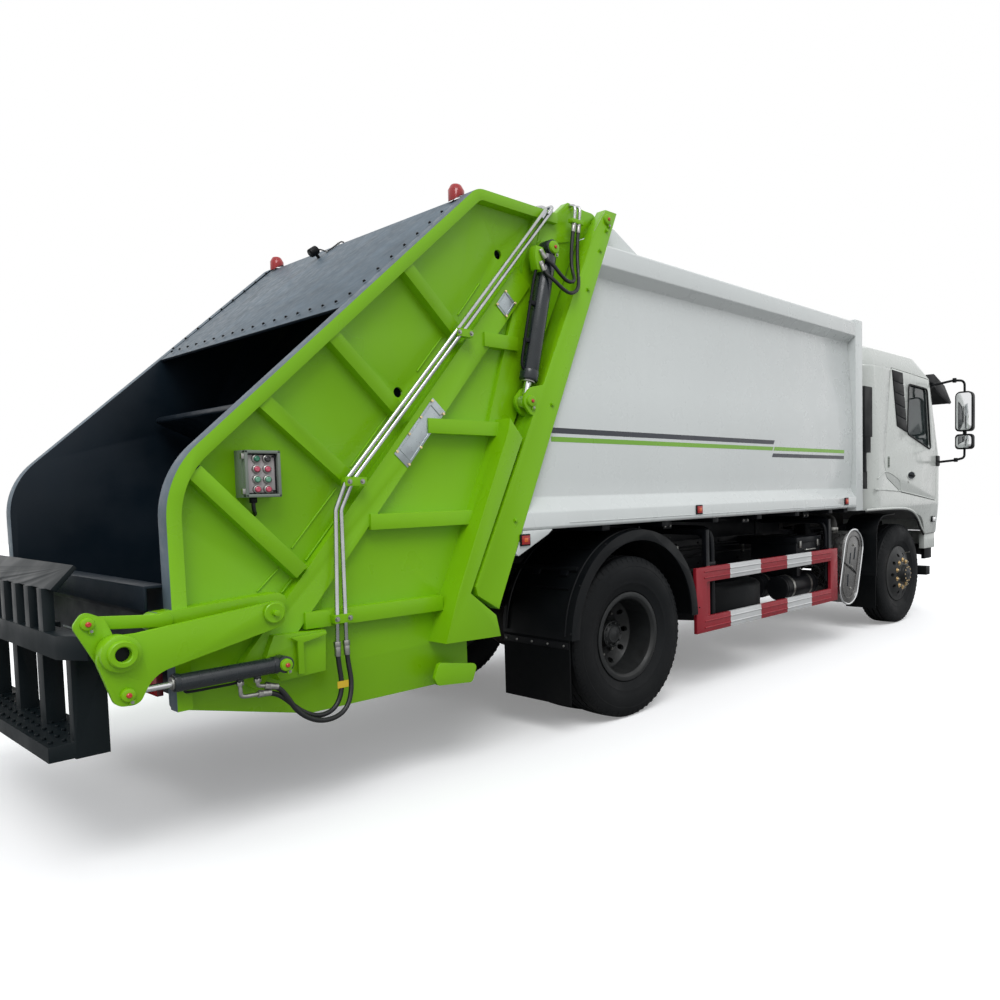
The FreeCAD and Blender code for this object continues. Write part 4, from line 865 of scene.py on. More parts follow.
# %% Weld beads, base angle and clip screws
SKIN = -1.1015
beads = [((-1.687, 1.893), (-1.914, 1.62)), ((-1.99, 1.522), (-2.221, 1.254)),
    ((-2.288, 1.166), (-2.386, 1.075)), ((-1.996, 1.385), (-2.158, 1.194)),
    ((-2.227, 1.114), (-2.278, 1.057)), ((-1.36, 2.3), (-1.52, 2.108)), ((-1.1, 2.62), (-1.25, 2.43)),
    ((-1.49, 1.75), (-1.8, 1.42)), ((-1.26, 1.3), (-1.4, 0.99))]
seams = [bar("weld", at(a[0], SKIN, a[1]), at(b[0], SKIN, b[1]), 0.0045, lime, 8) for a, b in beads]
fold = [(-2.3, 0.868), (-2.268, 0.848), (-2.268, 0.7), (-2.24, 0.7), (-2.24, 0.838), (-2.13, 0.858),
    (-2.13, 0.874)]
seams.append(side_sheet("base_angle", fold, -1.212, -1.196, lime, 0.003))
twins("tailgate_seams", seams, "tailgate")
screws = [at(x, -1.2, z) for x, z in ((-1.978, 1.55), (-1.912, 1.55), (-2.068, 0.918), (-2.003, 0.918),
    (-1.318, 2.32), (-1.243, 2.32))]
both_sides(bolts("clip_screws_right", screws, (0, -1, 0), 0.017, zinc), "tailgate")

# %% [markdown]
# ## Two blank aluminium plates
# Riveted plates sit on the diagonal. They are left blank: a cut sheet, a raised inner frame that is
# its own thin border, and round rivet heads.

# %% Blank plates
def blank_plate(name, corners, rivets, face):
    corners = [Vector((x + REAR_AXLE, z)) for x, z in corners]
    middle = sum(corners, Vector((0, 0))) / len(corners)
    pieces = [sheet_of(name, [tuple(c) for c in corners], "XZ", face - 0.004, face, brushed, 0.001)]
    inner = [middle + (c - middle) * 0.8 for c in corners]
    for start, end in zip(inner, inner[1:] + inner[:1]):
        pieces.append(bar("frame_line", (start.x, face - 0.0045, start.y),
            (end.x, face - 0.0045, end.y), 0.0028, brushed, 8))
    spots = []
    for a, b, share in rivets:
        spot = corners[a].lerp(corners[b], share)
        spot = middle + (spot - middle) * 0.91
        spots.append(Vector((spot.x, face - 0.004, spot.y)))
    pieces.append(bolts("rivets", spots, (0, -1, 0), 0.014, golden, False, 10))
    return both_sides(joined(name, pieces), "tailgate")


CORNER_RIVETS = [(0, 1, 0.0), (1, 2, 0.0), (2, 3, 0.0), (3, 0, 0.0)]
blank_plate("small_plate_right", [(-0.957, 2.6), (-0.885, 2.54), (-0.957, 2.452), (-1.027, 2.512)],
    CORNER_RIVETS, -1.146)
blank_plate("large_plate_right", [(-1.463, 1.975), (-1.388, 1.906), (-1.628, 1.617), (-1.702, 1.686)],
    CORNER_RIVETS + [(1, 2, 0.34), (1, 2, 0.67), (3, 0, 0.34), (3, 0, 0.67)], -1.146)

# %% [markdown]
# ## The control box
# A grey case with eight push buttons in two columns, two latches and a cable gland below. Each
# button is a turned cap in a bright ring.

# %% Control box
BOX = -1.175
panel = finish("panel_grey", (0.42, 0.39, 0.39), 0.4, clouds=0.06, cloud_size=10, grain=0.1)
button_paint = {"green": finish("button_green", (0.01, 0.16, 0.085), 0.3, coat=0.3),
    "pale": finish("button_pale_green", (0.12, 0.34, 0.22), 0.3, coat=0.3),
    "black": finish("button_black", (0.012, 0.012, 0.014), 0.3, coat=0.3),
    "red": finish("button_red", (0.55, 0.075, 0.13), 0.3, coat=0.3)}
box_pieces = [block("panel", at(-2.447, BOX - 0.003, 1.494), at(-2.312, BOX, 1.678), panel, 0.001)]
for low, high in (((-2.457, 1.486), (-2.302, 1.5)), ((-2.457, 1.672), (-2.302, 1.686)),
        ((-2.457, 1.486), (-2.443, 1.686)), ((-2.316, 1.486), (-2.302, 1.686))):
    box_pieces.append(block("cover_frame", at(low[0], BOX - 0.024, low[1]),
        at(high[0], BOX + 0.001, high[1]), case_grey, 0.004))
seal = [at(x, BOX - 0.004, z) for x, z in ((-2.441, 1.502), (-2.318, 1.502), (-2.318, 1.67),
    (-2.441, 1.67))]
for start, end in zip(seal, seal[1:] + seal[:1]):
    box_pieces.append(bar("seal", start, end, 0.004, moulded_black, 8))
rows = ((1.65, ("green", "black")), (1.606, ("red", "red")), (1.562, ("pale", "pale")),
    (1.52, ("red", "red")))
for z, pair in rows:
    for x, colour in zip((-2.403, -2.357), pair):
        ring = [(0.0, 0.0), (-0.01, 0.0), (-0.01, 0.012), (-0.013, 0.014), (-0.011, 0.0175),
            (0.0, 0.0185)]
        cap = [(-0.008, 0.0), (-0.019, 0.0), (-0.0195, 0.008), (-0.017, 0.0115), (-0.008, 0.012)]
        box_pieces += [turned("ring", ring, at(x, BOX - 0.003, z), "Y", zinc, 20),
            turned("cap", cap, at(x, BOX - 0.003, z), "Y", button_paint[colour], 20)]
for z in (1.512, 1.66):
    box_pieces += [block("latch", at(-2.47, BOX - 0.02, z - 0.012), at(-2.452, BOX - 0.002, z + 0.012),
        zinc, 0.003), bar("screw", at(-2.33, BOX - 0.004, z), at(-2.33, BOX - 0.022, z), 0.004,
        moulded_black, 8)]
box_pieces += [bar("gland", at(-2.4, -1.135, 1.488), at(-2.4, -1.135, 1.462), 0.016, moulded_black, 12,
    0.003), tube("box_cable", [at(-2.4, -1.135, 1.47), at(-2.4, -1.133, 1.435),
    at(-2.385, -1.118, 1.415), at(-2.38, -1.095, 1.41)], 0.009, hose_rubber, 12)]
single("control_box", box_pieces, "tailgate")

# %% [markdown]
# ## Pins of the lifting linkage
# Each pin ends in a round head with a bolted keeper plate, and a red cap on its grease
# nipple: a small, bright dot that the eye finds at once.

# %% Pin heads
red_cap = finish("red_grease_cap", (0.5, 0.03, 0.02), 0.35, coat=0.2)


def pin_head(name, x, y, z, radius, body):
    profile = [(0.0, 0.0), (-0.016, 0.0), (-0.018, radius * 0.55), (-0.014, radius * 0.9),
        (-0.008, radius), (0.0, radius)]
    dot = [(0.0, 0.0), (-0.008, 0.0), (-0.009, 0.006), (-0.006, 0.0095), (0.0, 0.0105)]
    pieces = [turned(name, profile, at(x, y, z), "Y", lime, 32),
        block("keeper", at(x + 0.1 * radius, y - 0.009, z - 1.5 * radius),
            at(x + 0.9 * radius, y, z - 0.75 * radius), lime, 0.002),
        bolts("keeper_bolt", [at(x + 0.5 * radius, y - 0.009, z - 1.15 * radius)], (0, -1, 0),
            radius * 0.34, zinc),
        turned("cap", dot, at(x, y - 0.016, z), "Y", red_cap, 14)]
    twins(name, pieces, body)


pin_head("hinge_head", -0.219, -1.25, 3.127, 0.03, "truck")
pin_head("ram_top_head", -0.668, -1.241, 2.873, 0.036, "lift_barrels")
pin_head("ram_eye_head", -0.883, -1.25, 1.988, 0.032, "truck")
print("pins done")

# %% [markdown]
# ## Oil lines of the lifting rams
# Each barrel carries a port block on its rear side, with a thin pipe down to the port at its rod
# end. Two rubber hoses reach it from the top of the tailgate. They sag in a loop, which gives them
# the length that they need when the barrel swings. A hose is a tube along a smooth curve of a few
# points. It joins two bodies but rides on neither: its place is fixed into its mesh.

# %% Port block and side pipe
port = [(-0.795, 2.862), (-0.742, 2.862), (-0.706, 2.811), (-0.722, 2.716), (-0.788, 2.732),
    (-0.803, 2.8)]
port_pieces = [side_sheet("port_block", port, -1.232, -1.176, lime, 0.005),
    tube("side_pipe", [at(x, -1.21, z) for x, z in ((-0.775, 2.74), (-0.794, 2.7), (-0.829, 2.543),
    (-0.87, 2.369), (-0.906, 2.213), (-0.903, 2.175), (-0.88, 2.165), (-0.86, 2.17))], 0.008,
    chassis_black, 12)]
for x, z in ((-0.829, 2.543), (-0.878, 2.33)):
    port_pieces.append(block("pipe_strap", at(x - 0.004, -1.222, z - 0.012),
        at(x + 0.045, -1.198, z + 0.012), chassis_black, 0.003))
port_pieces.append(bar("end_port", at(-0.872, -1.21, 2.172), at(-0.838, -1.21, 2.164), 0.017,
    cylinder_black, 14, 0.003))
gland = Vector((-0.236, 0, -0.972))
barrel_end = at(-0.8545, -1.203, 2.1053)
port_pieces += [bar("gland_ring", barrel_end - gland * 0.06, barrel_end - gland * 0.004, 0.0535,
    cylinder_black, 40, 0.004), bar("gland_nut", barrel_end - gland * 0.004, barrel_end + gland * 0.01,
    0.04, zinc, 32, 0.003)]
twins("ram_fittings", port_pieces, "lift_barrels")


# %% Ram hoses
RAM_HOSE, LIFTER_HOSE = 0.011, 0.0115


def hose_with_ends(name, line, radius, first_crimp, last_crimp):
    """A hose with a crimped steel sleeve over each end."""
    line = [at(*p) for p in line]
    pieces = [tube(name, line, radius, hose_rubber, 12)]
    for end, towards, length in ((line[0], line[1], first_crimp), (line[-1], line[-2], last_crimp)):
        if length:
            step = (towards - end).normalized() * length
            pieces += [bar("crimp", end, end + step, radius * 1.25, zinc, 14, 0.002),
                bar("crimp_nut", end - step * 0.25, end + step * 0.2, radius * 1.45, zinc, 6, 0.001)]
    return joined(name, pieces)


ram_hoses = [
    hose_with_ends("ram_hose_a", [(-0.445, -1.19, 3.062), (-0.471, -1.195, 2.957), (-0.486, -1.2, 2.843),
                                  (-0.488, -1.21, 2.779), (-0.533, -1.275, 2.7), (-0.599, -1.285, 2.68),
                                  (-0.66, -1.285, 2.712), (-0.7, -1.275, 2.76), (-0.742, -1.245, 2.8),
                                  (-0.76, -1.236, 2.832)], RAM_HOSE, 0.05, 0.045),
    hose_with_ends("ram_hose_b", [(-0.406, -1.19, 3.062), (-0.43, -1.2, 2.956), (-0.444, -1.21, 2.852),
                                  (-0.457, -1.23, 2.758), (-0.515, -1.285, 2.655), (-0.59, -1.295, 2.612),
                                  (-0.66, -1.295, 2.634), (-0.712, -1.285, 2.675), (-0.75, -1.25, 2.715),
                                  (-0.76, -1.236, 2.765)], RAM_HOSE, 0.05, 0.045)]
for hose in ram_hoses:
    twin = moved_copy(hose, hose.name + "_left", MIRROR)
    for piece, side in ((hose, RIGHT), (twin, LEFT)):
        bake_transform(piece)
top_pipes = []
for x in (-0.445, -0.406):
    top_pipes.append(tube("top_pipe", [at(x, -1.19, 3.05), at(x + 0.008, -1.19, 3.11),
        at(x + 0.018, -1.188, 3.17), at(x + 0.02, -1.155, 3.188), at(x + 0.02, -1.08, 3.186)], 0.0095,
        steel, 12))
for x, z in ((-0.64, 3.085), (-0.69, 3.055)):
    top_pipes.append(tube("top_pipe", [at(x - 0.012, -1.185, z - 0.013),
        at(x + 0.012, -1.185, z + 0.013), at(x + 0.03, -1.18, z + 0.045), at(x + 0.034, -1.14, 3.128),
        at(x + 0.034, -1.06, 3.13)], 0.0105, steel, 12))
top_pipes.append(block("pipe_clip", at(-0.472, -1.206, 3.068), at(-0.374, -1.168, 3.094), lime, 0.004))
twins("top_pipes", top_pipes, "tailgate")
print("ram hoses done")

# %% [markdown]
# ## A camera and its cable on the canopy
# A small round camera looks down behind the truck from the canopy's slope. It stands on a
# short stalk, and its cable runs up through two saddle clips into the sheet at the crest.

# %% Canopy camera
CREST_X, CREST_Z, RISE = -1.15, 3.091, 0.9277
EYE_X, EYE_Y, EYE_OUT = -1.262, 0.269, 0.048


def on_slope(x, y, out):
    """A place over the canopy's slope, by its station, its side and its distance from the sheet."""
    return at(x, y, CREST_Z + (x - CREST_X) * RISE) + SLOPE * out


lens = Vector((-0.8, 0, -0.6))
eye_place = on_slope(EYE_X, EYE_Y, EYE_OUT)
eye = [bar("camera_foot", on_slope(EYE_X, EYE_Y, 0.0), on_slope(EYE_X, EYE_Y, 0.045), 0.01,
    moulded_black, 12, 0.002), bar("camera_case", eye_place - lens * 0.026, eye_place + lens * 0.034,
    0.027, moulded_black, 24, 0.006), bar("camera_glass", eye_place + lens * 0.03,
    eye_place + lens * 0.036, 0.014, window_glass, 20, 0.002),
    tube("camera_cable", [on_slope(-1.245, 0.269, 0.048), on_slope(-1.225, 0.268, 0.03),
    on_slope(-1.222, 0.245, 0.006), on_slope(-1.225, 0.215, 0.006), on_slope(-1.175, 0.2, 0.006),
    on_slope(-1.155, 0.185, 0.006), on_slope(-1.153, 0.172, 0.004), on_slope(-1.153, 0.16, -0.004)],
    0.0045, hose_rubber, 8)]
for x, y in ((-1.226, 0.226), (-1.165, 0.191)):
    eye.append(bar("cable_clip", on_slope(x, y, 0.0), on_slope(x, y, 0.012), 0.008, zinc, 10, 0.002))
single("canopy_camera", eye, "tailgate")

# %% [markdown]
# ## The bin lifter
# Two arms, their cranks and tie links are green; the beam, posts, step and comb between them are
# black. The arm's boss is a short open tube, and a thin black disc in its mouth is painted shade for
# the dark hole. A castle nut locks the arm's pivot, and its slots are what makes it a castle nut: they
# are cut with three crossed bars.

# %% Cranks, bosses and castle nuts
print("cranks", recolour(done["lifter_frame"], lime, lambda c,
    n: abs(c.y) > 1.2045 and abs(c.x - REAR_AXLE + 3.04) < 0.11 and c.z > 0.86))
SHAFT = (-2.985, 0.92)
ring = [(0.0, 0.028), (-0.028, 0.028), (-0.032, 0.032), (-0.032, 0.046), (-0.028, 0.05),
    (-0.014, 0.052), (-0.012, 0.062), (-0.008, 0.068), (0.004, 0.07), (0.004, 0.028)]
boss_ring = turned("boss_ring", ring, at(SHAFT[0], -1.286, SHAFT[1]), "Y", lime, 40)
# A thin black disc in the boss's mouth: painted shade that stands for the dark inside of the hole.
boss_hole_shade = turned("boss_hole_shade", [(0.0, 0.0), (-0.002, 0.0), (-0.002, 0.029), (0.0, 0.029)],
    at(SHAFT[0], -1.286, SHAFT[1]), "Y", moulded_black, 32)
nut_place = at(-2.4, -1.28, 0.998)
pivot_plate = turned("pivot_plate", [(0.0, 0.0), (-0.006, 0.0), (-0.008, 0.04), (-0.004, 0.044),
    (0.0, 0.044)], nut_place, "Y", lime, 32)
castle = bolts("castle_nut", [nut_place + Vector((0, -0.006, 0))], (0, -1, 0), 0.066, lime, False)
slots = [bar("slot", nut_place + Vector((0.04 * math.cos(t), -0.036, 0.04 * math.sin(t))),
    nut_place - Vector((0.04 * math.cos(t), 0.036, 0.04 * math.sin(t))), 0.0075, moulded_black, 8)
    for t in (0.0, math.pi / 3, 2 * math.pi / 3)]
bored(castle, slots)
stud = bar("pivot_stud", nut_place, nut_place + Vector((0, -0.03, 0)), 0.013, lime, 16, 0.002)
arm_fittings = joined("arm_fittings_right", [boss_ring, boss_hole_shade, pivot_plate, castle, stud])
both_sides(arm_fittings, "lifter_arms")
pin_head("lifter_rod_head", -2.965, -1.268, 0.76, 0.026, "lifter_arms")
pin_head("lifter_base_head", -2.35, -1.26, 0.765, 0.027, "lifter_barrels")
pin_head("crank_head", -3.07, -1.22, 1.036, 0.024, "lifter_frame")

# %% [markdown]
# ## The lifter's cylinders and hoses
# A gland ring closes the barrel where the chromed rod comes out. Two steel elbows leave the barrel
# below, and black hoses hang from them in a loop and climb to the tailgate's pipes. The slack lets
# the cylinder swing; each hose's place is fixed into its mesh, and it rides on no body.

# %% Barrel ends, elbows and the thin return pipe
BARREL_Y = -1.226


def beside(x, z):
    """A place in the lifter cylinder's own plane."""
    return at(x, BARREL_Y, z)


cylinder_parts = [bar("gland", beside(-2.77, 0.765), beside(-2.792, 0.765), 0.037, cylinder_black, 32,
    0.003), bar("wiper", beside(-2.79, 0.765), beside(-2.8, 0.765), 0.026, zinc, 28, 0.002),
    bar("end_cap", beside(-2.372, 0.765), beside(-2.396, 0.765), 0.0375, cylinder_black, 32, 0.003)]
for x in (-2.533, -2.46):
    cylinder_parts += [bar("port", beside(x, 0.735), beside(x, 0.718), 0.015, cylinder_black, 14,
        0.002), bar("port_nut", beside(x, 0.722), beside(x, 0.706), 0.016, zinc, 6, 0.001)]
cylinder_parts += [tube("elbow", [beside(-2.533, 0.712), beside(-2.533, 0.68), beside(-2.53, 0.658),
    beside(-2.505, 0.654), beside(-2.45, 0.654)], 0.009, zinc, 12),
    tube("elbow", [beside(-2.46, 0.71), beside(-2.46, 0.7), beside(-2.456, 0.689), beside(-2.44, 0.686),
    beside(-2.415, 0.682)], 0.009, zinc, 12), tube("return_pipe",
    [beside(-2.745, 0.735), beside(-2.752, 0.722), beside(-2.735, 0.718), beside(-2.64, 0.718),
    beside(-2.556, 0.718), beside(-2.536, 0.72)], 0.006, chassis_black, 10)]
twins("lifter_cylinder_fittings", cylinder_parts, "lifter_barrels")

# %% Hanging hoses
lower_hoses = [
    hose_with_ends("lifter_hose_a", [(-2.066, -1.185, 0.8), (-2.066, -1.186, 0.727),
                                     (-2.052, -1.195, 0.6),
                                     (-2.095, -1.205, 0.51), (-2.183, -1.215, 0.492),
                                     (-2.27, -1.222, 0.535),
                                     (-2.35, -1.226, 0.62), (-2.4, -1.226, 0.65),
                                     (-2.45, -1.226, 0.654)],
                   LIFTER_HOSE, 0.055, 0.045),
    hose_with_ends("lifter_hose_b", [(-2.02, -1.185, 0.8), (-2.02, -1.187, 0.727),
                                     (-2.008, -1.205, 0.6),
                                     (-2.06, -1.232, 0.49), (-2.18, -1.24, 0.47),
                                     (-2.29, -1.24, 0.53),
                                     (-2.35, -1.236, 0.64), (-2.382, -1.23, 0.672),
                                     (-2.418, -1.226, 0.682)],
                   LIFTER_HOSE, 0.055, 0.045)]
for hose in lower_hoses:
    twin = moved_copy(hose, hose.name + "_left", MIRROR)
    for piece, side in ((hose, RIGHT), (twin, LEFT)):
        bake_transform(piece)
tag_yellow = finish("hose_tag_yellow", (0.62, 0.42, 0.02), 0.5, grain=0.1)
tag = block("hose_tag", at(-2.085, -1.208, 0.6), at(-2.03, -1.206, 0.632), tag_yellow, 0.0)
on_body(tag, "tailgate")

# %% [markdown]
# ## The step and the comb
# The lifter's platform is a folded box whose top is pressed with grip buttons. Clamps like short
# chains hold the comb bar, and stiffening gussets join the posts to the beam.

# %% Step buttons, clamps and gussets
grips = bolts("step_grips", [at(-3.145 + 0.045 * i, y, 0.5655) for i in range(4)
    for y in (-0.98 + 0.085 * j for j in range(24))], (0, 0, 1), 0.016, lifter_black, False, 10)
frame_parts = [grips]
for y in (-0.99, -0.6, -0.225, 0.225, 0.6, 0.99):
    frame_parts.append(side_sheet("gusset", ((-3.072, 0.9), (-2.965, 0.9), (-3.068, 0.78)), y - 0.006,
        y + 0.006, lifter_black))
for y in (-0.78, -0.42, 0.0, 0.42, 0.78):
    for z in (0.998, 1.03, 1.062, 1.094):
        frame_parts.append(block("clamp_link", at(-3.096, y - 0.02, z), at(-3.058, y + 0.02, z + 0.024),
            lifter_black, 0.006))
single("lifter_frame_details", frame_parts, "lifter_frame")
print("lifter done")

# %% [markdown]
# ## Stripes on the container
# The stripes are thin tape that follows the curved wall. A copy of the wall is trimmed by cutting
# planes to a band between two heights and two stations, and pushed out by a fraction of a
# millimetre. The cut at the middle leans, as the real one does.

# %% Stripes
stripe_dark = finish("stripe_dark", (0.012, 0.017, 0.03), 0.28, coat=0.3, clouds=0.1, dust=0.1,
    dust_top=2.2)
stripe_green = finish("stripe_green", (0.17, 0.42, 0.012), 0.28, coat=0.3, clouds=0.06, dust=0.1,
    dust_top=2.2)


TAPE_THICKNESS = 0.0006


def stripe(side, name, x_low, x_high, z_low, z_high, paint, lean_low, lean_high):
    hand = "right" if side == RIGHT else "left"
    piece = only(copied(done["container_side_" + hand], name))
    for polygon in piece.data.polygons:
        polygon.select = polygon.normal.y * side < 0.5 or abs(polygon.center.y) < 1.16
    bpy.ops.object.mode_set(mode="EDIT")
    bpy.ops.mesh.delete(type="FACE")
    middle = (z_low + z_high) / 2
    cuts = ((at(0, 0, z_low), (0, 0, -1)), (at(0, 0, z_high), (0, 0, 1)),
        (at(x_low, 0, middle), (-1, 0, lean_low)), (at(x_high, 0, middle), (1, 0, -lean_high)))
    for place, outward in cuts:
        bpy.ops.mesh.select_all(action="SELECT")
        bpy.ops.mesh.bisect(plane_co=place, plane_no=outward, clear_outer=True)
    bpy.ops.object.mode_set(mode="OBJECT")
    for vertex in piece.data.vertices:
        vertex.co.y += side * TAPE_THICKNESS
    return on_body(painted(piece, paint), "truck")


LEAN = 0.55
for side, hand in ((RIGHT, "right"), (LEFT, "left")):
    stripe(side, "stripe_dark_rear_" + hand, -0.7, 1.76, 1.82, 1.852, stripe_dark, 0, LEAN)
    stripe(side, "stripe_green_rear_" + hand, -0.7, 1.745, 1.771, 1.8, stripe_green, 0, LEAN)
    stripe(side, "stripe_green_front_" + hand, 1.76, 2.985, 1.771, 1.801, stripe_green, LEAN, 0)
    stripe(side, "stripe_dark_front_" + hand, 1.74, 2.985, 1.718, 1.748, stripe_dark, LEAN, 0)
print("stripes done")

# %% [markdown]
# ## Side marker lamps, gussets and tabs
# Small square reflectors sit on the lower lip in black frames, folded gussets carry the container's
# rear end, and flat tabs hang from the floor where lines are clipped.

# %% Marker lamps and gussets
CONTAINER_FACE = -1.2505
MARKER = (("marker_frame", 0.038, 0.033, 0.01, 0.0, moulded_black, 0.005),
    ("marker_lens", 0.029, 0.025, 0.016, 0.008, red_lens, 0.006),
    ("marker_core", 0.014, 0.012, 0.018, 0.012, amber_lens, 0.004))
marker_parts = []
for x, z in ((-0.958, 1.218), (0.679, 1.333), (2.944, 1.334)):
    for name, half_x, half_z, outer, inner, paint, edge in MARKER:
        marker_parts.append(block(name, at(x - half_x, CONTAINER_FACE - outer, z - half_z),
            at(x + half_x, CONTAINER_FACE - inner, z + half_z), paint, edge))
twins("side_markers", marker_parts, "truck")
wedge = [(-0.735, 1.268), (-0.96, 1.268), (-1.022, 1.145), (-1.0, 1.13), (-0.771, 1.24)]
gussets = [side_sheet("rear_gusset", wedge, -1.248, -1.18, body_white, 0.004)]
twins("rear_gussets", gussets, "truck")
tabs = [block("floor_tab", at(x - 0.05, -1.004, 1.196), at(x + 0.05, -0.996, 1.272), chassis_black,
    0.003) for x in (0.634, 1.655, 2.65)]
tab_bolts = bolts("tab_bolts", [at(x + s * 0.03, -1.004, 1.215) for x in (0.634, 1.655, 2.65)
    for s in (-1, 1)], (0, -1, 0), 0.012, zinc)
twins("floor_tabs", tabs + [tab_bolts], "truck")

# %% Weld beads and bolts of the container
edge_beads = [bar("roof_seam", at(0.3, -1.06, 2.979), at(3.16, -1.06, 2.979), 0.004, body_white, 6),
    bar("lip_seam", at(-0.6, -1.2515, 1.3), at(3.15, -1.2515, 1.3), 0.0025, body_white, 6)]
twins("container_seams", edge_beads, "truck")
frame_spots = ((-0.225, 3.06), (-0.285, 2.93), (-0.4, 2.68), (-0.72, 1.98), (-1.02, 1.33))
frame_bolts = bolts("frame_bolts_right", [at(x, CONTAINER_FACE, z) for x, z in frame_spots], (0, -1, 0),
    0.02, lime)
both_sides(frame_bolts, "truck")

# %% [markdown]
# ## Side guards in red and white
# The guard's rails are roll-formed: two ridges run along each. Reflecting tape covers them in five
# lengths, red and white in turn, and the end posts are red. The rails are cut at the ends of each
# length, so that each gets its own finish, and the tubes behind them are black.

# %% Guard tape, ridges and tubes
TAPE = [0.79, 1.12, 1.55, 1.956, 2.367, 2.72]
guards = done["side_guards"]
only(guards)
bpy.ops.object.mode_set(mode="EDIT")
for station in TAPE:
    bpy.ops.mesh.select_all(action="SELECT")
    bpy.ops.mesh.bisect(plane_co=at(station, 0, 0), plane_no=(1, 0, 0))
bpy.ops.object.mode_set(mode="OBJECT")


def white_length(x):
    return TAPE[1] < x < TAPE[2] or TAPE[3] < x < TAPE[4]


def taped(place):
    return abs(place.y) > 1.1785 and place.z < 0.93


recolour(guards, guard_white, lambda c, n: taped(c) and white_length(c.x - REAR_AXLE))
recolour(guards, chassis_black, lambda c, n: not taped(c))
ridges = []
for z in (0.836, 0.88, 0.473, 0.52):
    for start, end in zip(TAPE, TAPE[1:]):
        paint = guard_white if white_length((start + end) / 2) else guard_red
        ridges.append(bar("ridge", at(start, -1.2085, z), at(end, -1.2085, z), 0.0065, paint, 10))
twins("guard_ridges", ridges, "truck")
guard_tubes = []
for front, back in ((0.972, 0.898), (2.818, 2.745)):
    for x, drop, low in ((front, 0.0, 0.46), (back, 0.03, 0.62)):
        guard_tubes.append(tube("guard_tube", [at(x, -1.15, low), at(x, -1.15, 0.9),
            at(x, -1.15, 1.13 - drop), at(x, -1.1, 1.185 - drop), at(x, -0.98, 1.188 - drop),
            at(x, -0.44, 1.188 - drop)], 0.019, chassis_black, 12))
    guard_tubes.append(block("tube_clamp", at(back - 0.02, -1.168, 0.905),
        at(front + 0.02, -1.132, 0.94), chassis_black, 0.003))
twins("guard_tubes", guard_tubes, "truck")

# %% [markdown]
# ## Rear mudguard details
# The broad plastic cover has raised bands along and across it, bolted clamps for its stays, bolts
# round its lip, and a row of bolts along the bottom where the rubber flap hangs.

# %% Bands, clamps and flap bolts
ARCH_MIDDLE, ARCH_RADIUS = (0.05, 0.59), 0.633


def on_arch(angle, y, out):
    t = math.radians(angle)
    return at(ARCH_MIDDLE[0] + (ARCH_RADIUS + out) * math.sin(t), y,
        ARCH_MIDDLE[1] + (ARCH_RADIUS + out) * math.cos(t))


fender_parts = []
for y in (-1.17, -0.64):
    fender_parts.append(tube("fender_band", [on_arch(a, y, 0.004) for a in range(-88, 89, 8)], 0.007,
        moulded_black, 8))
for angle in (-62, -34, 0, 34, 62):
    fender_parts.append(tube("fender_rib", [on_arch(angle, y, 0.005)
        for y in (-1.14, -1.0, -0.8, -0.67)], 0.006, moulded_black, 8))
for angle in (-52, 52):
    t = math.radians(angle)
    for y in (-1.05, -0.8):
        spot = on_arch(angle, y, 0.006)
        plate_piece = block("clamp", spot - Vector((0.028, 0.035, 0.008)),
            spot + Vector((0.028, 0.035, 0.008)), chassis_black, 0.003)
        plate_piece.data.transform(Matrix.Translation(spot) @ Matrix.Rotation(t, 4, "Y")
            @ Matrix.Translation(-spot))
        fender_parts += [plate_piece, bolts("clamp_bolts",
            [spot + Vector((0.012 * math.cos(t), s * 0.02, -0.012 * math.sin(t))) for s in (-1, 1)],
            (math.sin(t), 0, math.cos(t)), 0.013, zinc)]
flap_bolts = [at(-0.5835, y, 0.555) for y in (-1.16, -1.02, -0.88, -0.74, -0.64)]
fender_parts += [bolts("flap_bolts", flap_bolts, (-1, 0, 0), 0.016, zinc),
    block("flap_strip", at(-0.586, -1.195, 0.535), at(-0.5815, -0.615, 0.575), chassis_black, 0.001)]
lip_bolts = [on_arch(a, -1.2285, 0.016) for a in (-86, -60, -30, 0, 30, 60, 86)]
fender_parts.append(bolts("lip_bolts", lip_bolts, (0, -1, 0), 0.011, moulded_black, False, 10))
twins("fender_details", fender_parts, "truck")
recolour(done["mudguards"], mudflap_rubber, lambda c, n: c.x - REAR_AXLE < -0.56 and c.z < 0.59
    or 3.83 < c.x - REAR_AXLE < 3.856 and c.z < 0.61)

# %% [markdown]
# ## The exhaust's heat shield
# The silencer drum hides behind a bright pressed shield: a raised rim that follows its long oval,
# a pressed line inside it, three slots and three screws. Each slot is a dark bar on the shield,
# painted shade for its opening. The cross-strap is a thin dark cable.

# %% Shield rim, pressed line, slots and screws
OVAL_FLATNESS = 0.9


def oval_line(inset):
    """Points round the shield's leaning oval, drawn inwards from its edge."""
    low, high = (3.0685, 0.542), (3.1755, 0.9)
    lean = math.atan2(high[0] - low[0], high[1] - low[1])
    half_width = 0.197 - inset
    points = []
    for centre, first in ((high, -90), (low, 90)):
        for step in range(0, 181, 20):
            t = math.radians(first + step) + lean
            points.append((centre[0] + half_width * math.sin(t),
                centre[1] + half_width * math.cos(t) * OVAL_FLATNESS))
    return points


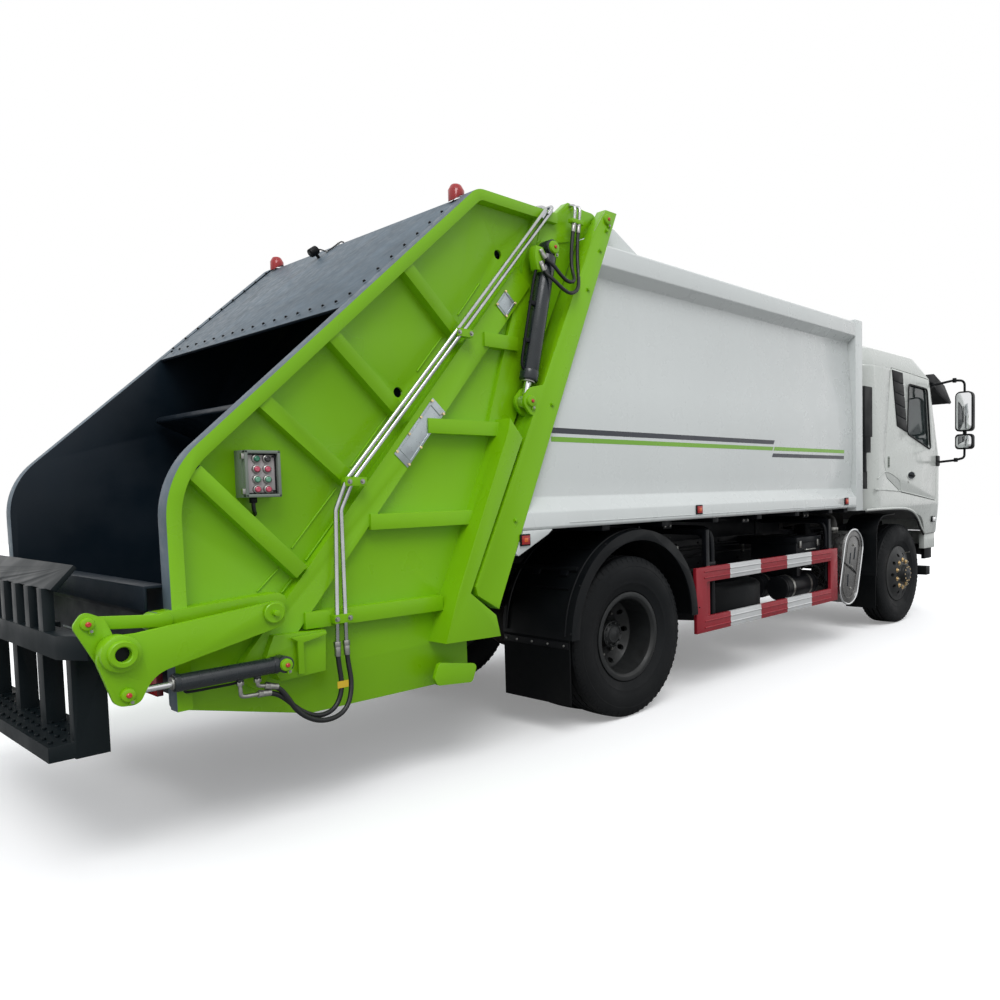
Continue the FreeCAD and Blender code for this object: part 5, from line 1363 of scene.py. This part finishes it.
shield_parts = []
for inset, radius in ((0.012, 0.01), (0.075, 0.005)):
    line = [at(x, -1.2115, z) for x, z in oval_line(inset)]
    shield_parts.append(tube("shield_rim", line + [line[0]], radius,
        chrome if inset < 0.05 else drum_silver, 10))
shield_parts.append(bolts("shield_screws", [at(3.1, -1.2105, 0.52), at(3.13, -1.2105, 0.72),
    at(3.17, -1.2105, 0.92)], (0, -1, 0), 0.02, zinc))
# The slots are dark bars laid on the shield: painted shade where the openings would look dark.
for x, z, dx, dz in ((3.052, 0.6, 0.01, 0.11), (3.195, 0.84, 0.03, 0.11), (3.1, 0.8, 0.022, 0.1)):
    shield_parts.append(bar("shield_slot_shade", at(x - dx / 2, -1.2105, z - dz / 2),
        at(x + dx / 2, -1.2105, z + dz / 2), 0.0055, hopper_dark, 8))
shield_parts.append(tube("shield_cable", [at(2.87, -1.14, 0.9), at(2.93, -1.205, 0.8),
    at(3.02, -1.221, 0.745), at(3.16, -1.222, 0.69), at(3.27, -1.205, 0.62), at(3.33, -1.13, 0.55)],
    0.0055, hose_rubber, 8))
single("exhaust_shield", shield_parts, "truck")
exhaust = [tube("tail_pipe", [at(3.12, -1.02, 1.04), at(3.13, -1.02, 1.12), at(3.2, -0.95, 1.17),
    at(3.22, -0.7, 1.17), at(3.2, -0.45, 1.12)], 0.045, cast_iron, 20),
    bar("pipe_clamp", at(3.125, -1.02, 1.055), at(3.127, -1.02, 1.085), 0.052, zinc, 24, 0.003)]
single("exhaust_pipe", exhaust, "truck")

# %% [markdown]
# ## Toolbox, battery box, air and fuel tanks
# Boxes get a lid with an overhanging edge, a handle, latches and straps. Tanks get straps,
# end-seam rings, an air line and a filler cap.

# %% Boxes and tanks
box_parts = [block("tool_lid", at(2.29, -1.112, 0.985), at(2.73, -0.635, 1.036), chassis_black, 0.006),
    tube("tool_handle", [at(x, y, 0.925) for x, y in ((2.43, -1.101), (2.43, -1.128), (2.45, -1.134),
    (2.57, -1.134), (2.59, -1.128), (2.59, -1.101))], 0.006, zinc, 8)]
for x in (2.35, 2.66):
    box_parts.append(block("tool_latch", at(x - 0.014, -1.118, 0.945), at(x + 0.014, -1.099, 1.005),
        zinc, 0.003))
for y in (-0.98, -0.74):
    for x in (2.182, 2.718):
        box_parts.append(turned("tank_seam", [(-0.006, 0.1045), (-0.006, 0.109), (0.006, 0.109),
            (0.006, 0.1045)], at(x + (0.03 if x < 2.5 else -0.03), y, 0.6), "X", chassis_black, 32))
    for x in (2.3, 2.6):
        box_parts.append(turned("tank_strap", [(-0.014, 0.104), (-0.014, 0.1085), (0.014, 0.1085),
            (0.014, 0.104)], at(x, y, 0.6), "X", zinc, 32))
box_parts.append(tube("air_line", [at(2.45, -1.02, 0.7), at(2.46, -1.04, 0.75), at(2.6, -1.08, 0.78),
    at(2.74, -1.09, 0.74), at(2.8, -1.06, 0.66), at(2.83, -0.98, 0.6)], 0.007, hose_rubber, 8))
single("tool_and_air_details", box_parts, "truck")
left_parts = [block("battery_lid", at(3.01, 0.612, 0.96), at(3.43, 1.138, 0.986), chassis_black, 0.006)]
for x in (3.1, 3.34):
    left_parts.append(block("battery_strap", at(x - 0.016, 1.128, 0.6), at(x + 0.016, 1.136, 0.985),
        zinc, 0.002))
for x in (1.52, 1.9, 2.28):
    line = [(x, y, z) for y, z in ((1.0935, 0.56), (1.0935, 0.94), (1.075, 0.985), (1.03, 1.0035),
        (0.62, 1.0035))]
    left_parts.append(tube("fuel_strap", [at(*p) for p in line], 0.009, zinc, 8))
left_parts += [bar("filler", at(2.08, 1.0, 1.0), at(2.08, 1.0, 1.045), 0.04, zinc, 28, 0.004),
    bar("filler_cap", at(2.08, 1.0, 1.045), at(2.08, 1.0, 1.075), 0.048, moulded_black, 12, 0.006)]
single("fuel_and_battery_details", left_parts, "truck")

# %% [markdown]
# ## Lines along the frame
# Air lines and a cable loom run along the rails and are tied to them. They are dark and half
# hidden, yet the space under a truck looks empty without them.

# %% Frame lines and rail rivets
frame_lines = []
for y, z, radius in ((-0.442, 0.985, 0.009), (-0.44, 0.958, 0.007), (-0.444, 0.905, 0.012)):
    points = [at(x, y - 0.004 * math.sin(3.1 * x), z - 0.008 * math.cos(4.3 * x))
        for x in (-0.8, -0.3, 0.2, 0.7, 1.2, 1.7, 2.2, 2.7, 3.2, 3.7)]
    frame_lines.append(tube("frame_line", points, radius, hose_rubber, 8))
for x in (-0.55, 0.45, 0.95, 1.45, 1.95, 2.45, 2.95, 3.45):
    frame_lines.append(block("line_clip", at(x - 0.012, -0.462, 0.885), at(x + 0.012, -0.43, 1.0), zinc,
        0.003))
rail_rivets = bolts("rail_rivets", [at(x, -0.4305, z) for x in [-0.7 + 0.31 * k for k in range(14)]
    for z in (0.83, 1.01)], (0, -1, 0), 0.018, chassis_black, False, 8)
twins("frame_lines", frame_lines + [rail_rivets], "truck")
print("sides done")

# %% [markdown]
# ## The cab's painted lower edge, grille and lamps
# The bumper is two things: a white painted shell above and a black plastic lip below. The grille's
# bars are black. Both are packed with their neighbours, so faces are picked by height.

# %% White bumper shell and black grille bars
print("bumper", recolour(done["front_bumper"], cab_white, lambda c,
    n: c.z > 0.756 and abs(c.x - REAR_AXLE - 5.5) < 0.5))
print("grille", recolour(done["cab_front"], moulded_black, lambda c,
    n: c.x - REAR_AXLE > 5.785 and 1.005 < c.z < 1.43 and abs(c.y) < 0.66))

# %% [markdown]
# ## Side slats, handles, creases and small lamps
# Behind each door is a black panel with five pressed bands. The door has an oval handle recess, whose
# dark middle is painted shade, a pressed line that runs forward and down, and a small grey vent behind
# it.

# %% Slat panel, handle, vent and creases
def cab_side(z):
    """Half width of the cab's side at a height."""
    levels = [(0.76, 1.13), (1.25, 1.18), (1.75, 1.185), (2.64, 1.15), (2.83, 1.09), (2.905, 0.9)]
    for (low_z, low_y), (high_z, high_y) in zip(levels, levels[1:]):
        if z <= high_z:
            return low_y + (high_y - low_y) * (z - low_z) / (high_z - low_z)
    return levels[-1][1]


def on_side(x, z, out=0.0):
    return at(x, -(cab_side(z) + out), z)


def skin_patch(name, corners, thick, material, edge=0.002):
    """A thin four-cornered patch that lies on the cab's leaning side."""
    inner = [on_side(x, z, -0.001) for x, z in corners]
    outer = [on_side(x, z, thick) for x, z in corners]
    nothing_selected()
    bpy.ops.mesh.primitive_cube_add(size=1)
    piece = placed(bpy.context.object, name)
    ring = {(-0.5, -0.5): 0, (0.5, -0.5): 1, (0.5, 0.5): 2, (-0.5, 0.5): 3}
    for corner in piece.data.vertices:
        k = ring[(corner.co.x, corner.co.z)]
        corner.co = (outer if corner.co.y < 0 else inner)[k]
    only(painted(piece, material))
    with editing():
        bpy.ops.mesh.normals_make_consistent(inside=False)
    return rounded(piece, edge)


slat_top = [(4.183, 2.65), (4.44, 2.64)]
slat_low = [(4.255, 2.075), (4.5, 2.02)]
slats = []
for k in range(5):
    a, b = k / 5 + 0.004, (k + 1) / 5 - 0.01
    corners = []
    for share, top_edge in ((b, False), (a, True)):
        left = [slat_top[0][i] + (slat_low[0][i] - slat_top[0][i]) * share for i in (0, 1)]
        right_end = [slat_top[1][i] + (slat_low[1][i] - slat_top[1][i]) * share for i in (0, 1)]
        corners += [right_end, left] if top_edge else [left, right_end]
    slats.append(skin_patch("slat", corners, 0.01, moulded_black, 0.004))
slats.append(skin_patch("slat_back", [slat_low[0], slat_low[1], slat_top[1], slat_top[0]], 0.004,
    hopper_dark))
twins("side_slats", slats, "cab")
vent = [skin_patch("vent", [(4.0, 1.65), (4.045, 1.65), (4.045, 1.76), (4.0, 1.76)], 0.003, case_grey)]
for z in (1.672, 1.694, 1.716, 1.738):
    vent.append(bar("vent_rib", on_side(4.006, z, 0.003), on_side(4.039, z, 0.003), 0.003,
        moulded_black, 6))
twins("side_vent", vent, "cab")

handle_dish = turned("handle_dish", [(0.0, 0.0), (-0.002, 0.0), (-0.003, 0.052), (-0.007, 0.06),
    (-0.004, 0.067), (0.0, 0.068)], (0, 0, 0), "Y", cab_white, 32)
handle_dish.data.transform(Matrix.Translation(on_side(4.6, 1.568)) @ Matrix.Scale(1.75, 4, (1, 0, 0))
    @ Matrix.Scale(0.72, 4, (0, 0, 1)))
# The middle of the handle dish gets a near-black finish: painted shade for the depth of the recess.
recolour(handle_dish, hopper_dark, lambda c, n: math.hypot((c.x - REAR_AXLE - 4.6) / 1.75,
    (c.z - 1.568) / 0.72) < 0.045)
grip = tube("grip", [on_side(4.525, 1.572, 0.002), on_side(4.545, 1.574, 0.018),
    on_side(4.6, 1.57, 0.022), on_side(4.655, 1.564, 0.018), on_side(4.675, 1.562, 0.002)], 0.009,
    moulded_black, 12)
lock = bar("lock", on_side(4.52, 1.5, 0.0), on_side(4.52, 1.5, 0.004), 0.012, zinc, 20, 0.001)
twins("door_handle", [handle_dish, grip, lock], ("door_right", "door_left"))
crease = [tube("crease", [on_side(x, z, 0.001) for x, z in ((4.33, 1.405), (4.6, 1.375), (4.9, 1.34),
    (5.1, 1.315), (5.27, 1.295))], 0.0065, cab_white, 8)]
twins("door_crease", crease, ("door_right", "door_left"))
rear_crease = [tube("crease", [on_side(x, z, 0.001) for x,
    z in ((3.7, 1.432), (3.95, 1.425), (4.2, 1.412), (4.31, 1.405))], 0.0065, cab_white, 8),
    tube("crease", [on_side(x, z, 0.001) for x, z in ((3.77, 1.535), (3.9, 1.61), (4.05, 1.6),
    (4.25, 1.54), (4.32, 1.5), (4.325, 1.425))], 0.005, cab_white, 8)]
arch_line = [(3.505, 1.236), (4.3, 1.236), (4.62, 1.205), (4.82, 1.12), (4.95, 0.99), (5.06, 0.93)]
rear_crease += [tube("arch_lip", [on_side(x, z, 0.002) for x, z in arch_line], 0.013, cab_white, 10),
    tube("arch_rubber", [on_side(x, z - 0.015, -0.01) for x, z in arch_line], 0.012, moulded_black, 10)]
twins("cab_creases", rear_crease, "cab")

# %% [markdown]
# ## Side lamp and door seals
# A rubber seal draws a dark line round each door's window. It is a tube that follows the edge.

# %% Lamps and seals
indicator = [block("indicator_base", on_side(5.2, 1.045, -0.004), on_side(5.292, 1.11, 0.014),
    moulded_black, 0.006), block("indicator_lens", on_side(5.208, 1.052, 0.006),
    on_side(5.284, 1.103, 0.026), clear_lens, 0.008), block("indicator_bulb",
    on_side(5.228, 1.062, 0.006), on_side(5.264, 1.093, 0.018), amber_lens, 0.006)]
twins("side_indicator", indicator, "cab")
WINDOW = [(5.14, 1.855), (4.512, 2.01), (4.6, 2.535), (5.11, 2.52)]


CORNER_STEPS = 4


def rounded_ring(points, radius):
    """A closed line with each corner turned in a few steps."""
    ring = []
    for i, here in enumerate(points):
        before, after = Vector(points[i - 1]), Vector(points[(i + 1) % len(points)])
        here = Vector(here)
        a, b = here + (before - here).normalized() * radius, here + (after - here).normalized() * radius
        for k in range(CORNER_STEPS + 1):
            t = k / CORNER_STEPS
            ring.append(tuple((1 - t) ** 2 * a + 2 * t * (1 - t) * here + t * t * b))
    return ring + [ring[0]]


seal = tube("window_seal_right", [on_side(x, z, 0.001) for x, z in rounded_ring(WINDOW, 0.05)], 0.01,
    moulded_black, 8)
both_sides(seal, ("door_right", "door_left"))

# %% [markdown]
# ## Mirrors
# Each mirror's glass faces the rear. It is a thin rounded plate set in the housing, so bright that
# it shows the sky, with a dark gap round it.

# %% Mirror glasses and arm feet
glasses = []
for low, high in (((-1.517, 2.072), (-1.348, 2.483)), ((-1.517, 1.872), (-1.348, 2.008))):
    outline = rounded_ring([(low[0], low[1]), (high[0], low[1]), (high[0], high[1]), (low[0], high[1])],
        0.045)[:-1]
    glasses.append(sheet_of("mirror_glass", outline, "YZ", 5.4665 + REAR_AXLE, 5.4695 + REAR_AXLE,
        mirror_face, 0.001))
twins("mirror_glasses", glasses, "cab")
feet = [block("arm_foot", at(5.29, -1.195, 1.672), at(5.4, -1.135, 1.79), moulded_black, 0.012),
    block("arm_foot", at(5.27, -1.168, 2.56), at(5.345, -1.125, 2.61), moulded_black, 0.01),
    bar("arm_joint", at(5.47, -1.345, 1.715), at(5.47, -1.345, 1.76), 0.022, moulded_black, 16, 0.004),
    bar("arm_joint", at(5.425, -1.345, 2.6), at(5.425, -1.345, 2.65), 0.022, moulded_black, 16, 0.004)]
twins("mirror_arm_feet", feet, "cab")

# %% [markdown]
# ## The front of the cab
# Headlamps have a clear cover over two bright bowls. Two wipers rest on the lower edge
# of the windscreen. The number plate and the badge place stay blank.

# %% Headlamps, wipers and blank plates
headlamp_parts = []
for x, y, radius in ((5.6, -0.985, 0.045), (5.655, -0.925, 0.032)):
    bowl = [(-0.012, 0.0), (-0.006, radius * 0.5), (0.004, radius * 0.9), (0.004, radius),
        (-0.014, radius), (-0.016, 0.0)]
    turned_bowl = turned("lamp_bowl", bowl, (0, 0, 0), "X", mirror_face, 28)
    turned_bowl.data.transform(Matrix.Translation(at(x + 0.012, y - 0.008, 0.835))
        @ Matrix.Rotation(math.radians(-38), 4, "Z"))
    headlamp_parts.append(turned_bowl)
twins("headlamp_bowls", headlamp_parts, "truck")
wipers = []
for start, end in ((0.2, 0.82), (-0.62, 0.02)):
    wipers += [bar("wiper_spindle", at(5.8, start, 1.585), at(5.845, start, 1.6), 0.016, moulded_black,
        14, 0.003), tube("wiper_arm", [at(5.842, start, 1.6),
        at(5.846, start + 0.12 * (end - start), 1.62), at(5.838, start + 0.55 * (end - start), 1.668)],
        0.007, moulded_black, 8)]
plate_blank = block("front_plate_blank", at(5.893, -0.22, 0.772), at(5.899, 0.22, 0.885), brushed,
    0.002)
on_body(plate_blank, "truck")
single("wipers", wipers, "cab")
rear_plate = [block("rear_plate_blank", at(-2.768, -0.22, 0.72), at(-2.762, 0.22, 0.86), brushed,
    0.002)]
single("rear_plate", rear_plate, "tailgate")
print("cab done")

# %% [markdown]
# ## Two padded seats
# A seat cushion is foam under stretched cloth. It is crowned in the middle and pinched at its seams,
# and its sides pull in between the corners, where the cloth is tightest. Each cushion starts as a
# cube cut into a fine grid, and its points are moved by that rule. Sewn channels are shallow grooves
# along the seat, and a thin piping cord covers the seam. Cloth simulation would make the same crown
# from air pressure. A rule in code keeps every cushion clear of the shell that holds it.

# %% Helper for cushions
def cushion(name, width, depth, thick, channels, matrix, pull=0.012):
    """A crowned cushion. Its grooves run along its depth, and z is its thickness."""
    nothing_selected()
    bpy.ops.mesh.primitive_cube_add(size=2)
    piece = only(placed(bpy.context.object, name))
    with editing():
        bpy.ops.mesh.subdivide(number_cuts=27)
    for vertex in piece.data.vertices:
        u, v, w = vertex.co
        crown = (1 - abs(u) ** 3) * (1 - abs(v) ** 3)
        belly = 1 - w * w
        x = u * (width / 2 - pull * (1 - v * v) - 0.01 * (1 - belly))
        y = v * (depth / 2 - pull * (1 - u * u) - 0.01 * (1 - belly))
        z = w * thick / 2 * (0.66 + 0.34 * math.sqrt(crown))
        if w > 0.99:
            for line in channels:
                z -= 0.011 * math.exp(-((u - line) / 0.045) ** 2) * min(1.0, 4 * (1 - abs(v)))
        vertex.co = (x, y, z)
    corner = [(sx * (width / 2 - 0.016), sy * (depth / 2 - 0.016)) for sx,
        sy in ((-1, -1), (1, -1), (1, 1), (-1, 1))]
    ring = []
    for (ax, ay), (bx, by) in zip(corner, corner[1:] + corner[:1]):
        for k in range(8):
            t = k / 8
            x, y = ax + (bx - ax) * t, ay + (by - ay) * t
            dip = pull * 4 * t * (1 - t)
            ring.append(Vector((x - dip * (abs(ax - bx) < 1e-6) * (1 if x > 0 else -1),
                y - dip * (abs(ay - by) < 1e-6) * (1 if y > 0 else -1), 0.33 * thick)))
    piping = tube(name + "_piping", ring + ring[:1], 0.004, seat_cloth, 8)
    modified(painted(piece, seat_cloth), "SUBSURF", levels=1, render_levels=1)
    bpy.ops.object.shade_smooth()
    piece = joined(name, [piece, piping])
    piece.data.transform(matrix)
    return piece


# %% Cushions, backs, head rests and shells
def tilted(angle, axis):
    return Matrix.Rotation(math.radians(angle), 4, axis)


upright = tilted(-12.5, "Y") @ tilted(90, "Y") @ tilted(90, "Z")
for side, hand in ((RIGHT, "right"), (LEFT, "left")):
    y = side * 0.56
    lie = Matrix.Translation(at(4.365, y, 1.508)) @ tilted(-2, "Y") @ tilted(90, "Z")
    stand = Matrix.Translation(at(4.092, y, 1.818)) @ upright
    rest = Matrix.Translation(at(3.995, y, 2.185)) @ upright
    pads = [cushion("seat_cushion_" + hand, 0.49, 0.47, 0.125, (-0.45, 0.45), lie),
        cushion("seat_back_" + hand, 0.48, 0.5, 0.105, (-0.45, 0.45), stand),
        cushion("head_rest_" + hand, 0.27, 0.17, 0.085, (), rest, 0.006)]
    for pad, fill in zip(pads, (0.8, 0.7, 0.8)):
        on_body(pad, "cab")
        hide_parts("seats")
    shell = [block("seat_pan", at(4.135, y - 0.235, 1.395), at(4.575, y + 0.235, 1.445), moulded_black,
        0.015), block("seat_pedestal", at(4.17, y - 0.19, 1.302), at(4.52, y + 0.19, 1.4),
        moulded_black, 0.012), bar("recline_hub", at(4.135, y - 0.243, 1.53),
        at(4.135, y + 0.243, 1.53), 0.03, moulded_black, 24, 0.005)]
    for offset in (-0.055, 0.055):
        shell.append(bar("head_rest_post", at(4.035, y + offset, 2.03), at(4.006, y + offset, 2.16),
            0.006, zinc, 10))
    single("seat_frame_" + hand, shell, "cab")
print("seats done")
